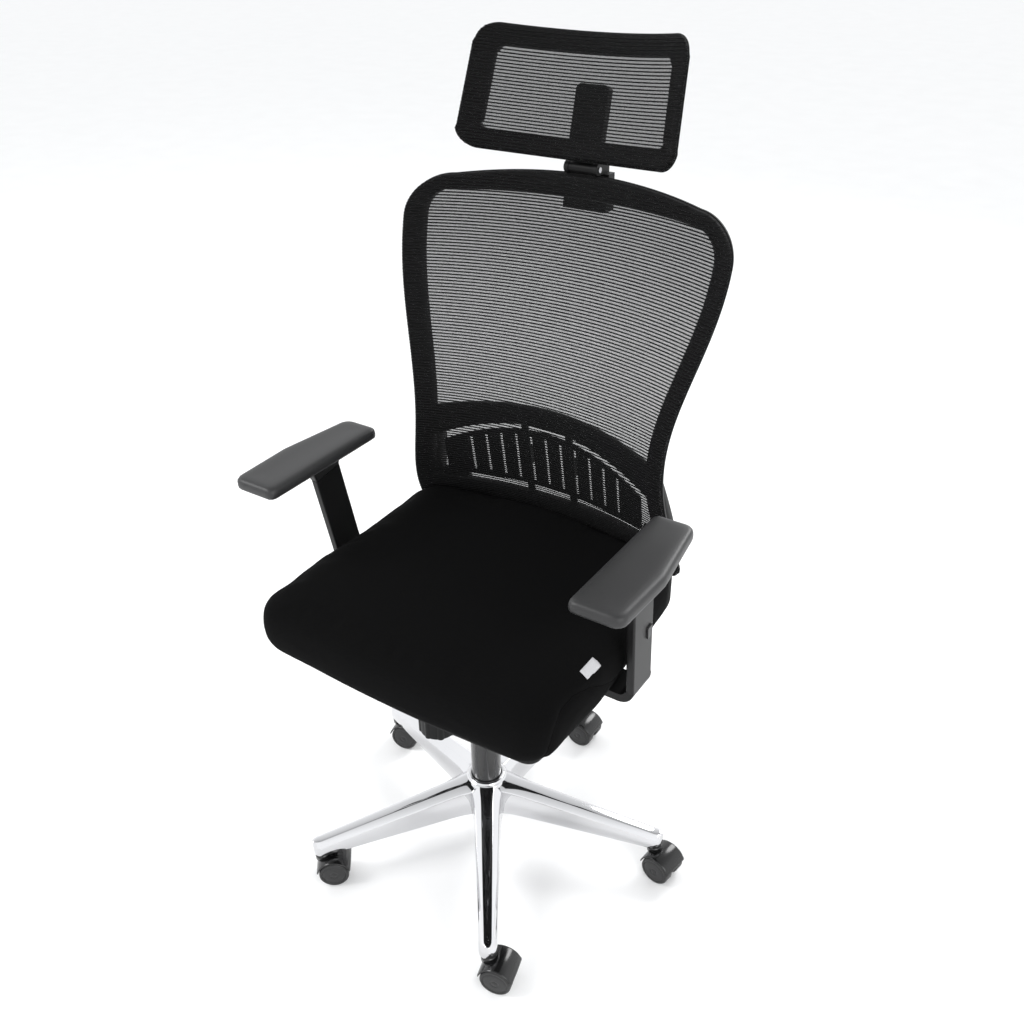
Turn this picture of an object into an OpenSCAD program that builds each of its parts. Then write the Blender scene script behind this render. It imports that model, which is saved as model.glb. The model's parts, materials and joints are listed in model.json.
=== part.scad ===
// Swivel office chair with a mesh back, height-adjustable arms, a tilting headrest and a
// five-legged castor base.  Millimetres, +Z up.  The sitter faces -Y, so the sitter's right
// hand is at -X.  The origin is on the floor, under the swivel axis.

/* [Base] */
// Radius from the swivel axis to each castor stem
base_r = 292; // [250:2:330]
// Angle of the first leg from straight ahead
base_turn = 34.5; // [0:0.5:72]
// Outer radius of the base hub
hub_r = 36; // [33:0.5:42]
// Height of the underside of the hub
hub_low = 70; // [66:1:78]
// Height of the top of the hub
hub_top = 143; // [130:1:150]
// Height of a leg's upper face at its tip
leg_tip_top = 89; // [82:1:96]
// Width of a leg at the hub
leg_w_hub = 44; // [36:1:50]
// Width of a leg at its tip
leg_w_tip = 27; // [24:1:32]
// Wall of a leg around its hollow underside
leg_wall = 3.5; // [2.5:0.5:5]

/* [Castors] */
// Wheel diameter
wheel_d = 50; // [44:1:54]
// Width of one wheel of a pair
wheel_w = 20; // [14:1:22]
// Thickness of the web between the two wheels
castor_web = 10; // [8:1:14]
// Trail from the stem to the wheel axle
castor_trail = 18; // [12:1:24]
// Diameter of the castor stem
stem_d = 11; // [10:0.5:12]

/* [Gas lift] */
// Outer diameter of the outer column
column_d = 50; // [44:1:52]
// Height of the top of the outer column
column_top = 300; // [260:5:310]
// Diameter of the sliding cylinder
cylinder_d = 28; // [24:1:32]
// Diameter of the piston rod
rod_d = 10; // [8:1:12]

/* [Tilt mechanism] */
// Outside width of the tilt housing
housing_w = 110; // [100:2:130]
// Distance of the tilt axle in front of the swivel axis
tilt_axle_y = 62; // [56:1:70]
// Height of the tilt axle
tilt_axle_z = 420; // [417:0.5:423]
// Diameter of the tilt axle
tilt_axle_d = 10; // [8:1:12]
// Largest tilt of the seat
tilt_max = 12; // [6:1:12]
// Sheet thickness of the housing and the tilt plate
sheet_t = 3; // [2:0.5:3.5]
// Diameter of the tension knob
knob_d = 60; // [48:1:70]

/* [Seat] */
// Width of the seat cushion at its widest
seat_w = 506; // [470:2:508]
// Width of the seat cushion at the back
seat_w_back = 476; // [440:2:480]
// Distance of the seat's front edge in front of the swivel axis
seat_front = 236; // [210:2:245]
// Distance of the cushion's back edge behind the swivel axis
seat_back = 199; // [190:1:200]
// Height of the underside of the seat pan
pan_low = 443; // [440:0.5:450]
// Thickness of the seat pan
pan_t = 10; // [8:1:14]
// Thickness of the cushion at its edge
cushion_t = 90; // [70:1:91]
// Height that the cushion crowns above its edge
cushion_crown = 8; // [0:1:8]

/* [Back] */
// Height of the lower edge of the back frame
back_low = 527; // [527:1:535]
// Height of the upper edge of the back frame
back_top = 1078; // [1000:2:1100]
// Half width of the back at its lower corners
back_half_low = 243; // [225:1:250]
// Half width of the back at its waist
back_half_waist = 219; // [205:1:230]
// Half width of the back at its shoulders
back_half_top = 268; // [250:1:290]
// Height of the waist
waist_z = 715; // [690:5:730]
// Width of the side rails
rail_side = 28; // [22:1:34]
// Width of the top rail
rail_top = 33; // [26:1:40]
// Height of the lower rail
rail_low = 48; // [40:1:56]
// Thickness of the back frame
frame_t = 20; // [14:1:24]
// Radius of the back in plan
back_plan_r = 580; // [500:10:800]
// Distance of the lumbar crest behind the swivel axis
lumbar_y = 193; // [193:1:205]
// Height of the lumbar crest
lumbar_z = 700; // [680:5:720]
// How far the top of the back lies behind the crest
back_rake = 100; // [60:5:120]

/* [Lumbar support] */
// Half width of the lumbar plate
lumbar_half = 180; // [140:1:182]
// Height of the lower edge of the lumbar plate
lumbar_low = 598; // [594:1:606]
// Height of the top of the lumbar plate's arch
lumbar_top = 706; // [690:1:707]
// Height of the plate's top at its ends
lumbar_end = 662; // [648:1:663]
// Thickness of the lumbar plate
lumbar_t = 3; // [2.5:0.5:5]
// Number of slots
lumbar_slots = 11; // [7:2:13]
// Distance between slots
slot_pitch = 26.8; // [20:0.2:28]
// Width of each slot
slot_width = 5.5; // [3:0.5:8]

/* [Headrest] */
// Half width of the headrest
head_half = 175; // [140:1:180]
// Height of the headrest
head_h = 168; // [140:1:190]
// Width of the headrest's border
head_rail = 28; // [20:1:32]
// Thickness of the headrest's frame
head_t = 16; // [12:1:18]
// Radius of the headrest in plan
head_plan_r = 280; // [240:5:400]
// Backward lean of the headrest
head_lean = 15.4; // [5:0.1:20]
// How far the headrest rises
head_travel = 45; // [20:5:50]

/* [Arms] */
// Height of the top of the arm pads
pad_top = 700; // [690:1:720]
// Thickness of an arm pad
pad_t = 19; // [14:1:24]
// Distance of a pad's inner edge from the middle
pad_inner = 246; // [240:1:256]
// Width of an arm pad at its widest
pad_w = 81; // [70:1:90]
// Distance of a pad's front end in front of the swivel axis
pad_front = 162; // [140:1:180]
// Distance of a pad's back end behind the swivel axis
pad_back = 77; // [60:1:90]
// Depth of an arm sleeve, front to back
sleeve_d = 55; // [46:1:62]
// Thickness of an arm sleeve
sleeve_t = 13; // [12:0.5:16]
// Forward lean of the arms
arm_lean = 8.8; // [4:0.1:10]
// Outward lean of the arms
arm_splay = 2.9; // [0:0.1:4]
// How far the arm pads rise
arm_travel = 70; // [30:5:75]

/* [Hidden] */
$fn = 48;

fit = 0.05;          // radial clearance of a running fit
gap = 0.3;           // clearance between neighbouring faces
eps = 0.01;

// Turn of each castor about its stem, measured from +X, as they stand
castor_turn = [14, 352, 0, 13, 38];
legs = 5;

// --- colours
chrome = [0.82, 0.83, 0.85];
steel = [0.6, 0.61, 0.63];
black = [0.06, 0.06, 0.065];
dark = [0.12, 0.12, 0.13];
grey = [0.2, 0.2, 0.21];

// --- base
leg_low_hub = hub_low + 8;
leg_low_tip = leg_tip_top - 29;
leg_top_hub = hub_top - 5;
socket_r = stem_d / 2 + 2.4;

module leg_side_profile(inset) {
    polygon([
        [hub_r - 8, leg_low_hub - (inset > 0 ? 10 : 0)],
        [base_r, leg_low_tip - (inset > 0 ? 10 : 0)],
        [base_r, leg_tip_top - inset],
        [hub_r - 8, leg_top_hub - inset]]);
}
module leg_plan(inset) {
    polygon([
        [hub_r - 8, -leg_w_hub / 2 + inset], [base_r, -leg_w_tip / 2 + inset],
        [base_r, leg_w_tip / 2 - inset], [hub_r - 8, leg_w_hub / 2 - inset]]);
}
module leg_block(inset) {
    intersection() {
        translate([0, leg_w_hub, 0]) rotate([90, 0, 0])
            linear_extrude(2 * leg_w_hub) leg_side_profile(inset);
        linear_extrude(2 * hub_top) leg_plan(inset);
    }
}
module each_leg() {
    for (i = [0 : legs - 1]) rotate(base_turn - 90 + i * 360 / legs) children();
}
module star_base() {
    color(chrome) difference() {
        union() {
            translate([0, 0, hub_low]) cylinder(h = hub_top - hub_low, r = hub_r);
            each_leg() {
                difference() {
                    leg_block(0);
                    intersection() {
                        leg_block(leg_wall);
                        translate([hub_r + 6, -leg_w_hub, 0])
                            cube([base_r - hub_r - 26, 2 * leg_w_hub, 2 * hub_top]);
                    }
                }
                translate([base_r, 0, leg_low_tip])
                    cylinder(h = leg_tip_top - leg_low_tip, r = leg_w_tip / 2);
            }
        }
        translate([0, 0, hub_low - 1]) cylinder(h = hub_top, r = column_d / 2 + fit);
        each_leg() translate([base_r, 0, leg_low_tip - 1])
            cylinder(h = leg_tip_top - leg_low_tip - 3, r = socket_r + fit);
    }
}
module castor_sockets() {
    color(steel) each_leg() translate([base_r, 0, leg_low_tip]) difference() {
        cylinder(h = leg_tip_top - leg_low_tip - 4.5, r = socket_r);
        translate([0, 0, -1]) cylinder(h = 60, r = stem_d / 2 + fit);
    }
}

// --- castors, built with the stem on the Z axis and the trail along +X
wheel_r = wheel_d / 2;
axle_r = 4;
hood_r = wheel_r + 3;
hood_t = 1.8;
hood_w = castor_web + 2 * wheel_w + 2;
stem_top = leg_tip_top - 6;

module place_castor(i) {
    rotate(base_turn - 90 + i * 360 / legs) translate([base_r, 0, 0])
        rotate(castor_turn[i] - (base_turn - 90 + i * 360 / legs)) children();
}
module on_axle() { translate([castor_trail, 0, wheel_r]) rotate([90, 0, 0]) children(); }
module castor_housing(i) {
    place_castor(i) {
        color(steel) translate([0, 0, 2 * wheel_r + 2]) cylinder(h = stem_top - 2 * wheel_r - 2, r = stem_d / 2);
        color(black) difference() {
            union() {
                on_axle() cylinder(h = castor_web, r = wheel_r - 2, center = true);
                translate([0, 0, 2 * wheel_r - 0.2]) cylinder(h = 4.2, r = 9);
                intersection() {
                    on_axle() difference() {
                        cylinder(h = hood_w, r = hood_r, center = true);
                        cylinder(h = hood_w + 2, r = hood_r - hood_t, center = true);
                    }
                    translate([castor_trail, 0, wheel_r]) rotate([0, -28, 0])
                        translate([-60, -60, 0]) cube([120, 120, 60]);
                }
                intersection() {
                    on_axle() cylinder(h = castor_web, r = hood_r - 0.5, center = true);
                    translate([castor_trail, 0, wheel_r]) rotate([0, -28, 0])
                        translate([-60, -60, 0]) cube([120, 120, 60]);
                }
            }
            on_axle() cylinder(h = castor_web + 2, r = axle_r + fit, center = true);
            translate([0, 0, 2 * wheel_r + 2]) cylinder(h = 20, r = stem_d / 2 + fit);
        }
    }
}
module castor_wheels(i) {
    side = castor_web / 2 + 1;
    color(dark) place_castor(i) on_axle() {
        cylinder(h = 2 * side + wheel_w, r = axle_r, center = true);
        for (s = [0, 1]) mirror([0, 0, s]) translate([0, 0, side]) rotate_extrude()
            polygon([[0, 0], [wheel_r - 2, 0], [wheel_r, 2], [wheel_r, wheel_w - 4],
                [wheel_r - 2.5, wheel_w - 1], [wheel_r - 6, wheel_w - 1.5],
                [wheel_r - 8, wheel_w - 0.5], [8, wheel_w], [0, wheel_w]]);
    }
}

// --- gas lift
column_low = 62;
column_wall = 1.8;
lift_up = 20;        // travel left above the height as built
lift_down = 65;      // travel below it
cylinder_low = 156;
cylinder_top = 406;
cylinder_wall = 1.5;
bearing_r = 12;
head_low = 290;

module column_tube() {
    color(black) difference() {
        translate([0, 0, column_low]) cylinder(h = column_top - column_low, r = column_d / 2);
        translate([0, 0, column_low + 4])
            cylinder(h = column_top, r = column_d / 2 - column_wall);
        translate([0, 0, column_low - 1]) cylinder(h = 10, r = rod_d / 2 + fit);
    }
}
module column_bush() {
    color(dark) difference() {
        union() {
            translate([0, 0, column_top - 85])
                cylinder(h = 85, r = column_d / 2 - column_wall - fit);
            translate([0, 0, column_top + 0.1]) cylinder(h = 4, r = column_d / 2);
            translate([0, 0, column_top - 1])
                cylinder(h = 2, r = column_d / 2 - column_wall - fit);
        }
        translate([0, 0, column_top - 90]) cylinder(h = 100, r = cylinder_d / 2 + fit);
    }
}
module thrust_bearing() {
    color(steel) difference() {
        translate([0, 0, column_low + 4 + fit]) cylinder(h = 6, r = bearing_r);
        translate([0, 0, column_low]) cylinder(h = 20, r = rod_d / 2 + fit);
    }
}
module piston_rod() {
    color(chrome) {
        translate([0, 0, column_low - 8]) cylinder(h = head_low - column_low + 8, r = rod_d / 2);
        translate([0, 0, column_low + 10.2]) cylinder(h = 3, r = rod_d / 2 + 3);
    }
}
module rod_clip() {
    color(steel) difference() {
        translate([0, 0, column_low - 3]) cylinder(h = 2.5, r = rod_d / 2 + 4);
        translate([0, 0, column_low - 4]) cylinder(h = 5, r = rod_d / 2 + 0.02);
    }
}
module piston_head() {
    color(dark) translate([0, 0, head_low + 0.1])
        cylinder(h = 12, r = cylinder_d / 2 - cylinder_wall - fit);
}
module gas_cylinder() {
    color(chrome) difference() {
        translate([0, 0, cylinder_low])
            cylinder(h = cylinder_top - cylinder_low, r = cylinder_d / 2);
        translate([0, 0, cylinder_low - 1])
            cylinder(h = cylinder_top - cylinder_low - 9, r = cylinder_d / 2 - cylinder_wall);
        translate([0, 0, cylinder_top - 20]) cylinder(h = 30, r = 3 + fit);
    }
}
module cylinder_gland() {
    color(dark) difference() {
        translate([0, 0, cylinder_low + 0.5])
            cylinder(h = 12, r = cylinder_d / 2 - cylinder_wall - fit);
        translate([0, 0, cylinder_low - 1]) cylinder(h = 30, r = rod_d / 2 + fit);
    }
}
module release_pin() {
    color(steel) translate([0, 0, cylinder_top - 18]) cylinder(h = 24, r = 3);
}

// --- tilt mechanism
housing_low = 388;
housing_front = 150;
housing_rear = 62;
housing_high = 434;
bolt_y = 120;
bolt_r = 5;
lever_y = 38;
lever_z = 414;
lever_r = 4;
lever_pivot = 50;    // distance of the lever's cross pin from the swivel axis
lever_reach = 292;
lock_y = 95;
lock_z = 402;
lock_r = 3.5;
rear_drop = tan(tilt_max) * (tilt_axle_y + housing_rear) + 1;

module yz_extrude(w) {
    translate([-w / 2, 0, 0]) rotate([90, 0, 90]) linear_extrude(w) children();
}
module housing_side(inset) {
    polygon([
        [-housing_front + inset, housing_low + inset],
        [housing_rear - inset, housing_low + inset],
        [housing_rear - inset, housing_high - rear_drop + 30 * sign(inset)],
        [-tilt_axle_y, housing_high + 30 * sign(inset)],
        [-housing_front + inset, housing_high + 30 * sign(inset)]]);
}
module tilt_housing() {
    color(grey) difference() {
        union() {
            difference() {
                yz_extrude(housing_w) housing_side(0);
                yz_extrude(housing_w - 2 * sheet_t) housing_side(sheet_t);
            }
            translate([0, 0, housing_low - 14]) cylinder(h = 30, r = cylinder_d / 2 + 5);
        }
        translate([0, 0, housing_low - 20]) cylinder(h = 60, r = cylinder_d / 2 + fit);
        translate([-housing_w, -tilt_axle_y, tilt_axle_z]) rotate([0, 90, 0])
            cylinder(h = 2 * housing_w, r = tilt_axle_d / 2 + fit);
        translate([-housing_w / 2 - 1, -lever_y, lever_z]) rotate([0, 90, 0])
            cylinder(h = 10, r = lever_r + 3 + fit);
        translate([-housing_w / 2 - 1, -lock_y, lock_z]) rotate([0, 90, 0])
            cylinder(h = 10, r = lock_r + fit);
        translate([0, -bolt_y, housing_low - 1]) {
            for (y = [-3, 11]) translate([0, y, 0]) cylinder(h = 8, r = bolt_r + 1.5);
            translate([-bolt_r - 1.5, -3, 0]) cube([2 * bolt_r + 3, 14, 8]);
        }
    }
}
module tilt_axle() {
    color(steel) translate([-housing_w / 2 - sheet_t - 4, -tilt_axle_y, tilt_axle_z])
        rotate([0, 90, 0]) cylinder(h = housing_w + 2 * sheet_t + 8, r = tilt_axle_d / 2);
}
knob_low = 338;
knob_rim = 372;
spring_low = 350;
spring_r = 14;
spring_wire = 3;
spring_turns = 5;

// Points of a ring of sides around a path point, for a wire with its path in the XY plane
function coil_pt(t) = [
    spring_r * cos(360 * spring_turns * t),
    -bolt_y + spring_r * sin(360 * spring_turns * t),
    spring_low + spring_wire / 2 + gap
        + t * (housing_low - spring_low - spring_wire - 2 * gap)];
function coil_ring(t, n) = [for (k = [0 : n - 1])
    let (a = 360 * spring_turns * t, b = 360 * k / n)
    coil_pt(t) + spring_wire / 2 * [cos(a) * cos(b), sin(a) * cos(b), sin(b)]];
// Closed skin over a stack of equal rings, with flat ends
module skin(rings, flip = false) {
    m = len(rings);
    n = len(rings[0]);
    quads = [for (i = [0 : m - 2], k = [0 : n - 1]) let (k2 = (k + 1) % n)
        each [[i * n + k, (i + 1) * n + k, i * n + k2],
            [i * n + k2, (i + 1) * n + k, (i + 1) * n + k2]]];
    last = (m - 1) * n;
    ends = [for (k = [1 : n - 2]) each [[0, k, k + 1], [last, last + k + 1, last + k]]];
    faces = concat(quads, ends);
    polyhedron(points = [for (r = rings) each r],
        faces = flip ? [for (f = faces) [for (j = [len(f) - 1 : -1 : 0]) f[j]]] : faces);
}
module tension_spring() {
    steps = 14 * spring_turns;
    color(steel) skin([for (i = [0 : steps]) coil_ring(i / steps, 8)]);
}
module tension_bolt() {
    color(steel) {
        translate([0, -bolt_y, knob_low + 6]) cylinder(h = pan_low - 6 - knob_low, r = bolt_r);
        translate([0, -bolt_y, plate_low - 5]) cylinder(h = 5 - gap, r = 9, $fn = 6);
    }
}
module tension_knob() {
    lobes = 8;
    color(black) translate([0, -bolt_y, 0]) difference() {
        union() {
            translate([0, 0, knob_low]) cylinder(h = knob_rim - knob_low, r = knob_d / 2 - 2);
            for (i = [0 : lobes - 1]) rotate(i * 360 / lobes)
                translate([knob_d / 2 - 6, 0, knob_low]) cylinder(h = knob_rim - knob_low, r = 6);
        }
        translate([0, 0, spring_low]) cylinder(h = 40, r = spring_r + spring_wire / 2 + 2);
        translate([0, 0, knob_low + 5.9]) cylinder(h = 40, r = bolt_r + fit);
    }
}
plate_t = 4;
plate_top = pan_low - gap;
plate_low = plate_top - plate_t;
plate_half = 85;
plate_bolts = [for (x = [-75, 75], y = [-110, 85]) [x, y]];
ear_x = housing_w / 2 + gap;

module tilt_plate() {
    color(grey) difference() {
        union() {
            translate([-plate_half, -housing_front, plate_low])
                cube([2 * plate_half, housing_front + 110, plate_t]);
            for (s = [-1, 1]) translate([s * (ear_x + sheet_t / 2), 0, 0]) yz_extrude(sheet_t)
                union() {
                    translate([-tilt_axle_y, tilt_axle_z]) circle(13);
                    translate([-tilt_axle_y - 13, tilt_axle_z])
                        square([26, plate_low + 1 - tilt_axle_z]);
                }
        }
        translate([-housing_w, -tilt_axle_y, tilt_axle_z]) rotate([0, 90, 0])
            cylinder(h = 2 * housing_w, r = tilt_axle_d / 2 + fit);
        for (p = plate_bolts) translate([p[0], p[1], plate_low - 1]) cylinder(h = 10, r = 3.3);
        translate([0, -bolt_y, plate_low - 1]) cylinder(h = 10, r = bolt_r + fit);
    }
}
module lever_bush() {
    color(black) {
        difference() {
            translate([-housing_w / 2 - 3, -lever_y, lever_z]) rotate([0, 90, 0])
                cylinder(h = 9, r = lever_r + 3);
            translate([-housing_w / 2 - 6, -lever_y, lever_z]) rotate([0, 90, 0])
                cylinder(h = 20, r = lever_r + 1);
        }
        lever_pin(1.45, 2 * lever_r + 4);
    }
}
module lever_pin(r, length) {
    translate([-lever_pivot, -lever_y, lever_z]) rotate([90, 0, 0])
        cylinder(h = length, r = r, center = true);
}
module height_lever() {
    color(chrome) difference() {
        union() {
            translate([-lever_reach + 30, -lever_y, lever_z]) rotate([0, 90, 0])
                cylinder(h = lever_reach - 30 + 8, r = lever_r);
            translate([-8, -lever_y - lever_r, lever_z - 1.2]) cube([16, lever_y + 8, 4.4]);
        }
        lever_pin(1.45 + fit, 3 * lever_r);
    }
}
module lever_paddle() {
    color(black) difference() {
        translate([-lever_reach, -lever_y, lever_z]) hull() for (y = [-9, 9]) {
            translate([9, y, 0]) cylinder(h = 10, r = 9, center = true, $fn = 32);
            translate([52, y, 0]) cylinder(h = 10, r = 5, center = true, $fn = 32);
        }
        translate([-lever_reach + 30, -lever_y, lever_z]) rotate([0, 90, 0])
            cylinder(h = 80, r = lever_r + 0.02);
    }
}
module lock_lever() {
    color(chrome) {
        translate([-lever_reach + 70, -lock_y, lock_z]) rotate([0, 90, 0])
            cylinder(h = lever_reach - 70 - 34, r = lock_r);
        translate([-48, -lock_y, lock_z]) rotate([0, 90, 0]) intersection() {
            cylinder(h = 14, r = 8);
            translate([-8, -5, -1]) cube([16, 13, 20]);
        }
    }
}
module lock_paddle() {
    color(black) translate([-lever_reach + 42, -lock_y, lock_z]) rotate([0, 90, 0])
        difference() {
            union() {
                cylinder(h = 44, r = 7);
                translate([-3, 0, 0]) cube([6, 14, 44]);
            }
            translate([0, 0, 28]) cylinder(h = 20, r = lock_r + 0.02);
        }
}

// --- seat
cushion_low = pan_low + pan_t + gap;
cushion_high = pan_low + pan_t + cushion_t;
corner_front = 44;
corner_back = 60;
front_bow = 8;       // how far the front edge bows out between its corners
rear_bow = 20;       // and how far the rear edge bows
pan_inset = 24;      // how far the cushion overhangs the pan
rear_half = 150;     // half the length of the rear edge's bow

// Outline of the seat in plan, drawn in by a distance
module seat_outline(inset) {
    wf = seat_w / 2 - corner_front - 4;
    wb = seat_w_back / 2 - corner_back;
    offset(delta = -inset) hull() {
        polygon(concat([for (x = [-wf : wf / 6 : wf])
            [x, -seat_front + front_bow * pow(x / wf, 2)]], [[0, 0]]));
        polygon(concat([for (x = [-rear_half : rear_half / 6 : rear_half])
            [x, seat_back + rear_bow * (1 - pow(x / rear_half, 2))]], [[0, 0]]));
        for (s = [-1, 1]) {
            translate([s * wf, -seat_front + front_bow + corner_front])
                circle(corner_front);
            translate([s * (seat_w / 2 - 120), -seat_front / 3]) circle(120);
            translate([s * wb, seat_back - corner_back]) circle(corner_back);
        }
    }
}
// Place, turn and size of the two legs that carry the back
leg_x = 190;
leg_y = 214;
leg_turn = 19.1;
leg_w = 45;
leg_t = 14;

// Every bolt that comes up into the pan: tilt plate, arm brackets and back legs
arm_bolts = [for (s = [-1, 1], y = [2, 30], x = [168, 196]) [s * x, y]];
leg_bolts = [for (s = [-1, 1], d = [52, 84])
    [s * (leg_x - d * sin(leg_turn)), leg_y - d * cos(leg_turn)]];
module seat_pan() {
    color(black) difference() {
        translate([0, 0, pan_low]) linear_extrude(pan_t) seat_outline(pan_inset);
        for (p = concat(plate_bolts, arm_bolts, leg_bolts))
            translate([p[0], p[1], pan_low - 1]) cylinder(h = pan_t - 1, r = 3 + fit);
        translate([0, -bolt_y, pan_low - 1]) cylinder(h = 4, r = bolt_r + 1);
    }
}
foot_t = 13;
foot_low = pan_low - gap - foot_t;
module bolt_up(p, face) {
    translate([p[0], p[1], face - 4]) cylinder(h = 4 - gap / 3, r = 5.5, $fn = 6);
    translate([p[0], p[1], face - 1]) cylinder(h = pan_low + pan_t - 3 - face, r = 3);
}
module seat_bolts() {
    color(steel) {
        for (p = plate_bolts) bolt_up(p, plate_low);
        for (p = concat(arm_bolts, leg_bolts)) bolt_up(p, foot_low);
    }
}
module seat_cushion() {
    color(black) hull() {
        translate([0, 0, cushion_low]) linear_extrude(1) seat_outline(14);
        translate([0, 0, cushion_low + 12]) linear_extrude(cushion_t - 40) seat_outline(0);
        translate([0, 0, cushion_high - 12]) linear_extrude(1) seat_outline(4);
        translate([0, 0, cushion_high - 2]) linear_extrude(1) seat_outline(14);
        translate([0, 0, cushion_high + cushion_crown - 1]) linear_extrude(1)
            seat_outline(90);
    }
}
module seat_tag() {
    color([0.7, 0.7, 0.7]) translate([seat_w / 2 + 0.5, -105, cushion_high - 42])
        cube([0.8, 26, 14]);
}

// --- back: every point lies on one surface, curved in plan and along its height
low_rake = 119;      // the same rise as back_rake, below the crest
back_wave = 400;     // height over which the back leans from its crest to its full rake

function back_y(z) = z > lumbar_z
    ? lumbar_y + back_rake * (1 - cos(180 * min((z - lumbar_z) / back_wave, 1))) / 2
    : lumbar_y + low_rake * (1 - cos(180 * (lumbar_z - z) / back_wave)) / 2;
function plan_sag(x, r) = r - sqrt(r * r - x * x);
function back_pt(x, z, off) = [x, back_y(z) - plan_sag(x, back_plan_r) + off, z];

shoulder_z = back_top - 73;
shoulder_rx = 68;
shoulder_rz = 59;
top_crown = back_top - shoulder_z - shoulder_rz;
foot_r = 14;
function back_half(z) = z < waist_z
    ? back_half_waist + (back_half_low - back_half_waist)
        * (1 - cos(180 * (waist_z - z) / (waist_z - back_low))) / 2
    : back_half_waist + (back_half_top - back_half_waist)
        * (1 - cos(180 * (z - waist_z) / (shoulder_z - waist_z))) / 2;

// Right half of an outline, from the bottom middle to the top middle.  'in' shrinks it:
// [side, top, bottom] distances from the outer edge.
function half_outline(in, rf, rx, rz) = concat(
    [for (i = [0 : 4]) [i / 5 * (back_half(back_low + foot_r) - in[0] - rf), back_low + in[2]]],
    [for (a = [-90 : 22.5 : -22.5])
        [back_half(back_low + foot_r) - in[0] - rf + rf * cos(a),
         back_low + in[2] + rf + rf * sin(a)]],
    [for (i = [0 : 13]) let (z0 = back_low + in[2] + rf, z = z0 + i / 13 * (shoulder_z - z0))
        [back_half(z) - in[0], z]],
    [for (a = [15 : 15 : 90])
        [back_half_top - in[0] - rx + rx * cos(a), shoulder_z + rz * sin(a)]],
    [for (i = [1 : 4]) let (x = (back_half_top - in[0] - rx) * (1 - i / 4))
        [x, shoulder_z + rz
            + (back_top - in[1] - shoulder_z - rz)
            * (1 - pow(x / (back_half_top - in[0] - rx), 2))]]);
function mirrored(h) = concat(h, [for (i = [len(h) - 2 : -1 : 1]) [-h[i][0], h[i][1]]]);
back_outer = mirrored(half_outline([0, 0, 0], foot_r, shoulder_rx, shoulder_rz));
back_inner = mirrored(half_outline([rail_side, rail_top, rail_low], 10,
    shoulder_rx - rail_side, shoulder_rz - rail_top + 12));

// Cross-section of a rail: [share of its width, offset along its thickness]
function rail_section(t) = [[0, -t * 0.25], [0.12, -t / 2], [0.88, -t / 2], [1, -t * 0.3],
    [1, t * 0.3], [0.88, t / 2], [0.12, t / 2], [0, t * 0.25]];
// Closed skin over rings that run round in a loop
module loop_skin(rings) {
    m = len(rings);
    n = len(rings[0]);
    polyhedron(points = [for (r = rings) each r],
        faces = [for (i = [0 : m - 1], k = [0 : n - 1])
            let (i2 = (i + 1) % m, k2 = (k + 1) % n)
            each [[i * n + k, i * n + k2, i2 * n + k], [i * n + k2, i2 * n + k2, i2 * n + k]]]);
}
// The bow above the lumbar opening, one ring for each place along X
bow_reach = back_half_waist - rail_side / 2;
function bow_high(x) = 742 - 21 * pow(x / 185, 2);
function bow_low(x) = 712 - 39 * pow(x / 177, 2);
guide_x = 40;
guide_w = 12;
lumbar_lean = 9.1;
lumbar_mid = (lumbar_low + lumbar_top) / 2;
module lumbar_frame() {
    translate([0, back_y(lumbar_mid) - 1, lumbar_mid]) rotate([lumbar_lean, 0, 0]) children();
}
module back_frame() {
    color(black) {
        loop_skin([for (i = [0 : len(back_outer) - 1])
            [for (s = rail_section(frame_t))
                let (p = back_outer[i] + (back_inner[i] - back_outer[i]) * s[0])
                back_pt(p[0], p[1], s[1])]]);
        skin([for (i = [0 : 20]) let (x = -bow_reach + 2 * bow_reach * i / 20)
            [for (s = rail_section(frame_t - 4))
                back_pt(x, bow_low(x) + (bow_high(x) - bow_low(x)) * s[0], s[1])]], true);
        lumbar_frame() for (s = [-1, 1])
            translate([s * guide_x - guide_w / 2, lumbar_t / 2 + 2 * gap, -92])
                cube([guide_w, 5, 178]);
    }
}
// A thin sheet over an outline, drawn as rings that shrink to its middle
module sheet(outline, mid, t, pt) {
    n = len(outline);
    rings = 7;
    function at(i, k, off) = let (p = mid + (outline[i] - mid) * (k / rings))
        pt(p[0], p[1], off);
    side = function(off) [for (k = [1 : rings], i = [0 : n - 1]) at(i, k, off)];
    front = concat([pt(mid[0], mid[1], 0)], side(0));
    back = concat([pt(mid[0], mid[1], t)], side(t));
    b = len(front);
    fan = [for (i = [0 : n - 1]) [0, 1 + i, 1 + (i + 1) % n]];
    bands = [for (k = [0 : rings - 2], i = [0 : n - 1])
        let (a = 1 + k * n + i, a2 = 1 + k * n + (i + 1) % n)
        each [[a, a + n, a2], [a2, a + n, a2 + n]]];
    rim = [for (i = [0 : n - 1])
        let (a = 1 + (rings - 1) * n + i, a2 = 1 + (rings - 1) * n + (i + 1) % n)
        each [[a, b + a, a2], [a2, b + a, b + a2]]];
    top = concat(fan, bands);
    polyhedron(points = concat(front, back), faces = concat(top,
        [for (f = top) [f[0] + b, f[2] + b, f[1] + b]], rim));
}
mesh_t = 1.2;
mesh_gap = 1.2;       // clears the rails, whose flat facets stand in front of the true curve
function midway(a, b, s) = [for (i = [0 : len(a) - 1]) a[i] + (b[i] - a[i]) * s];
module back_mesh() {
    color(grey) sheet(midway(back_outer, back_inner, 0.15), [0, 800], mesh_t,
        function(x, z, off) back_pt(x, z, off - frame_t / 2 - mesh_gap - mesh_t));
}

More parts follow.
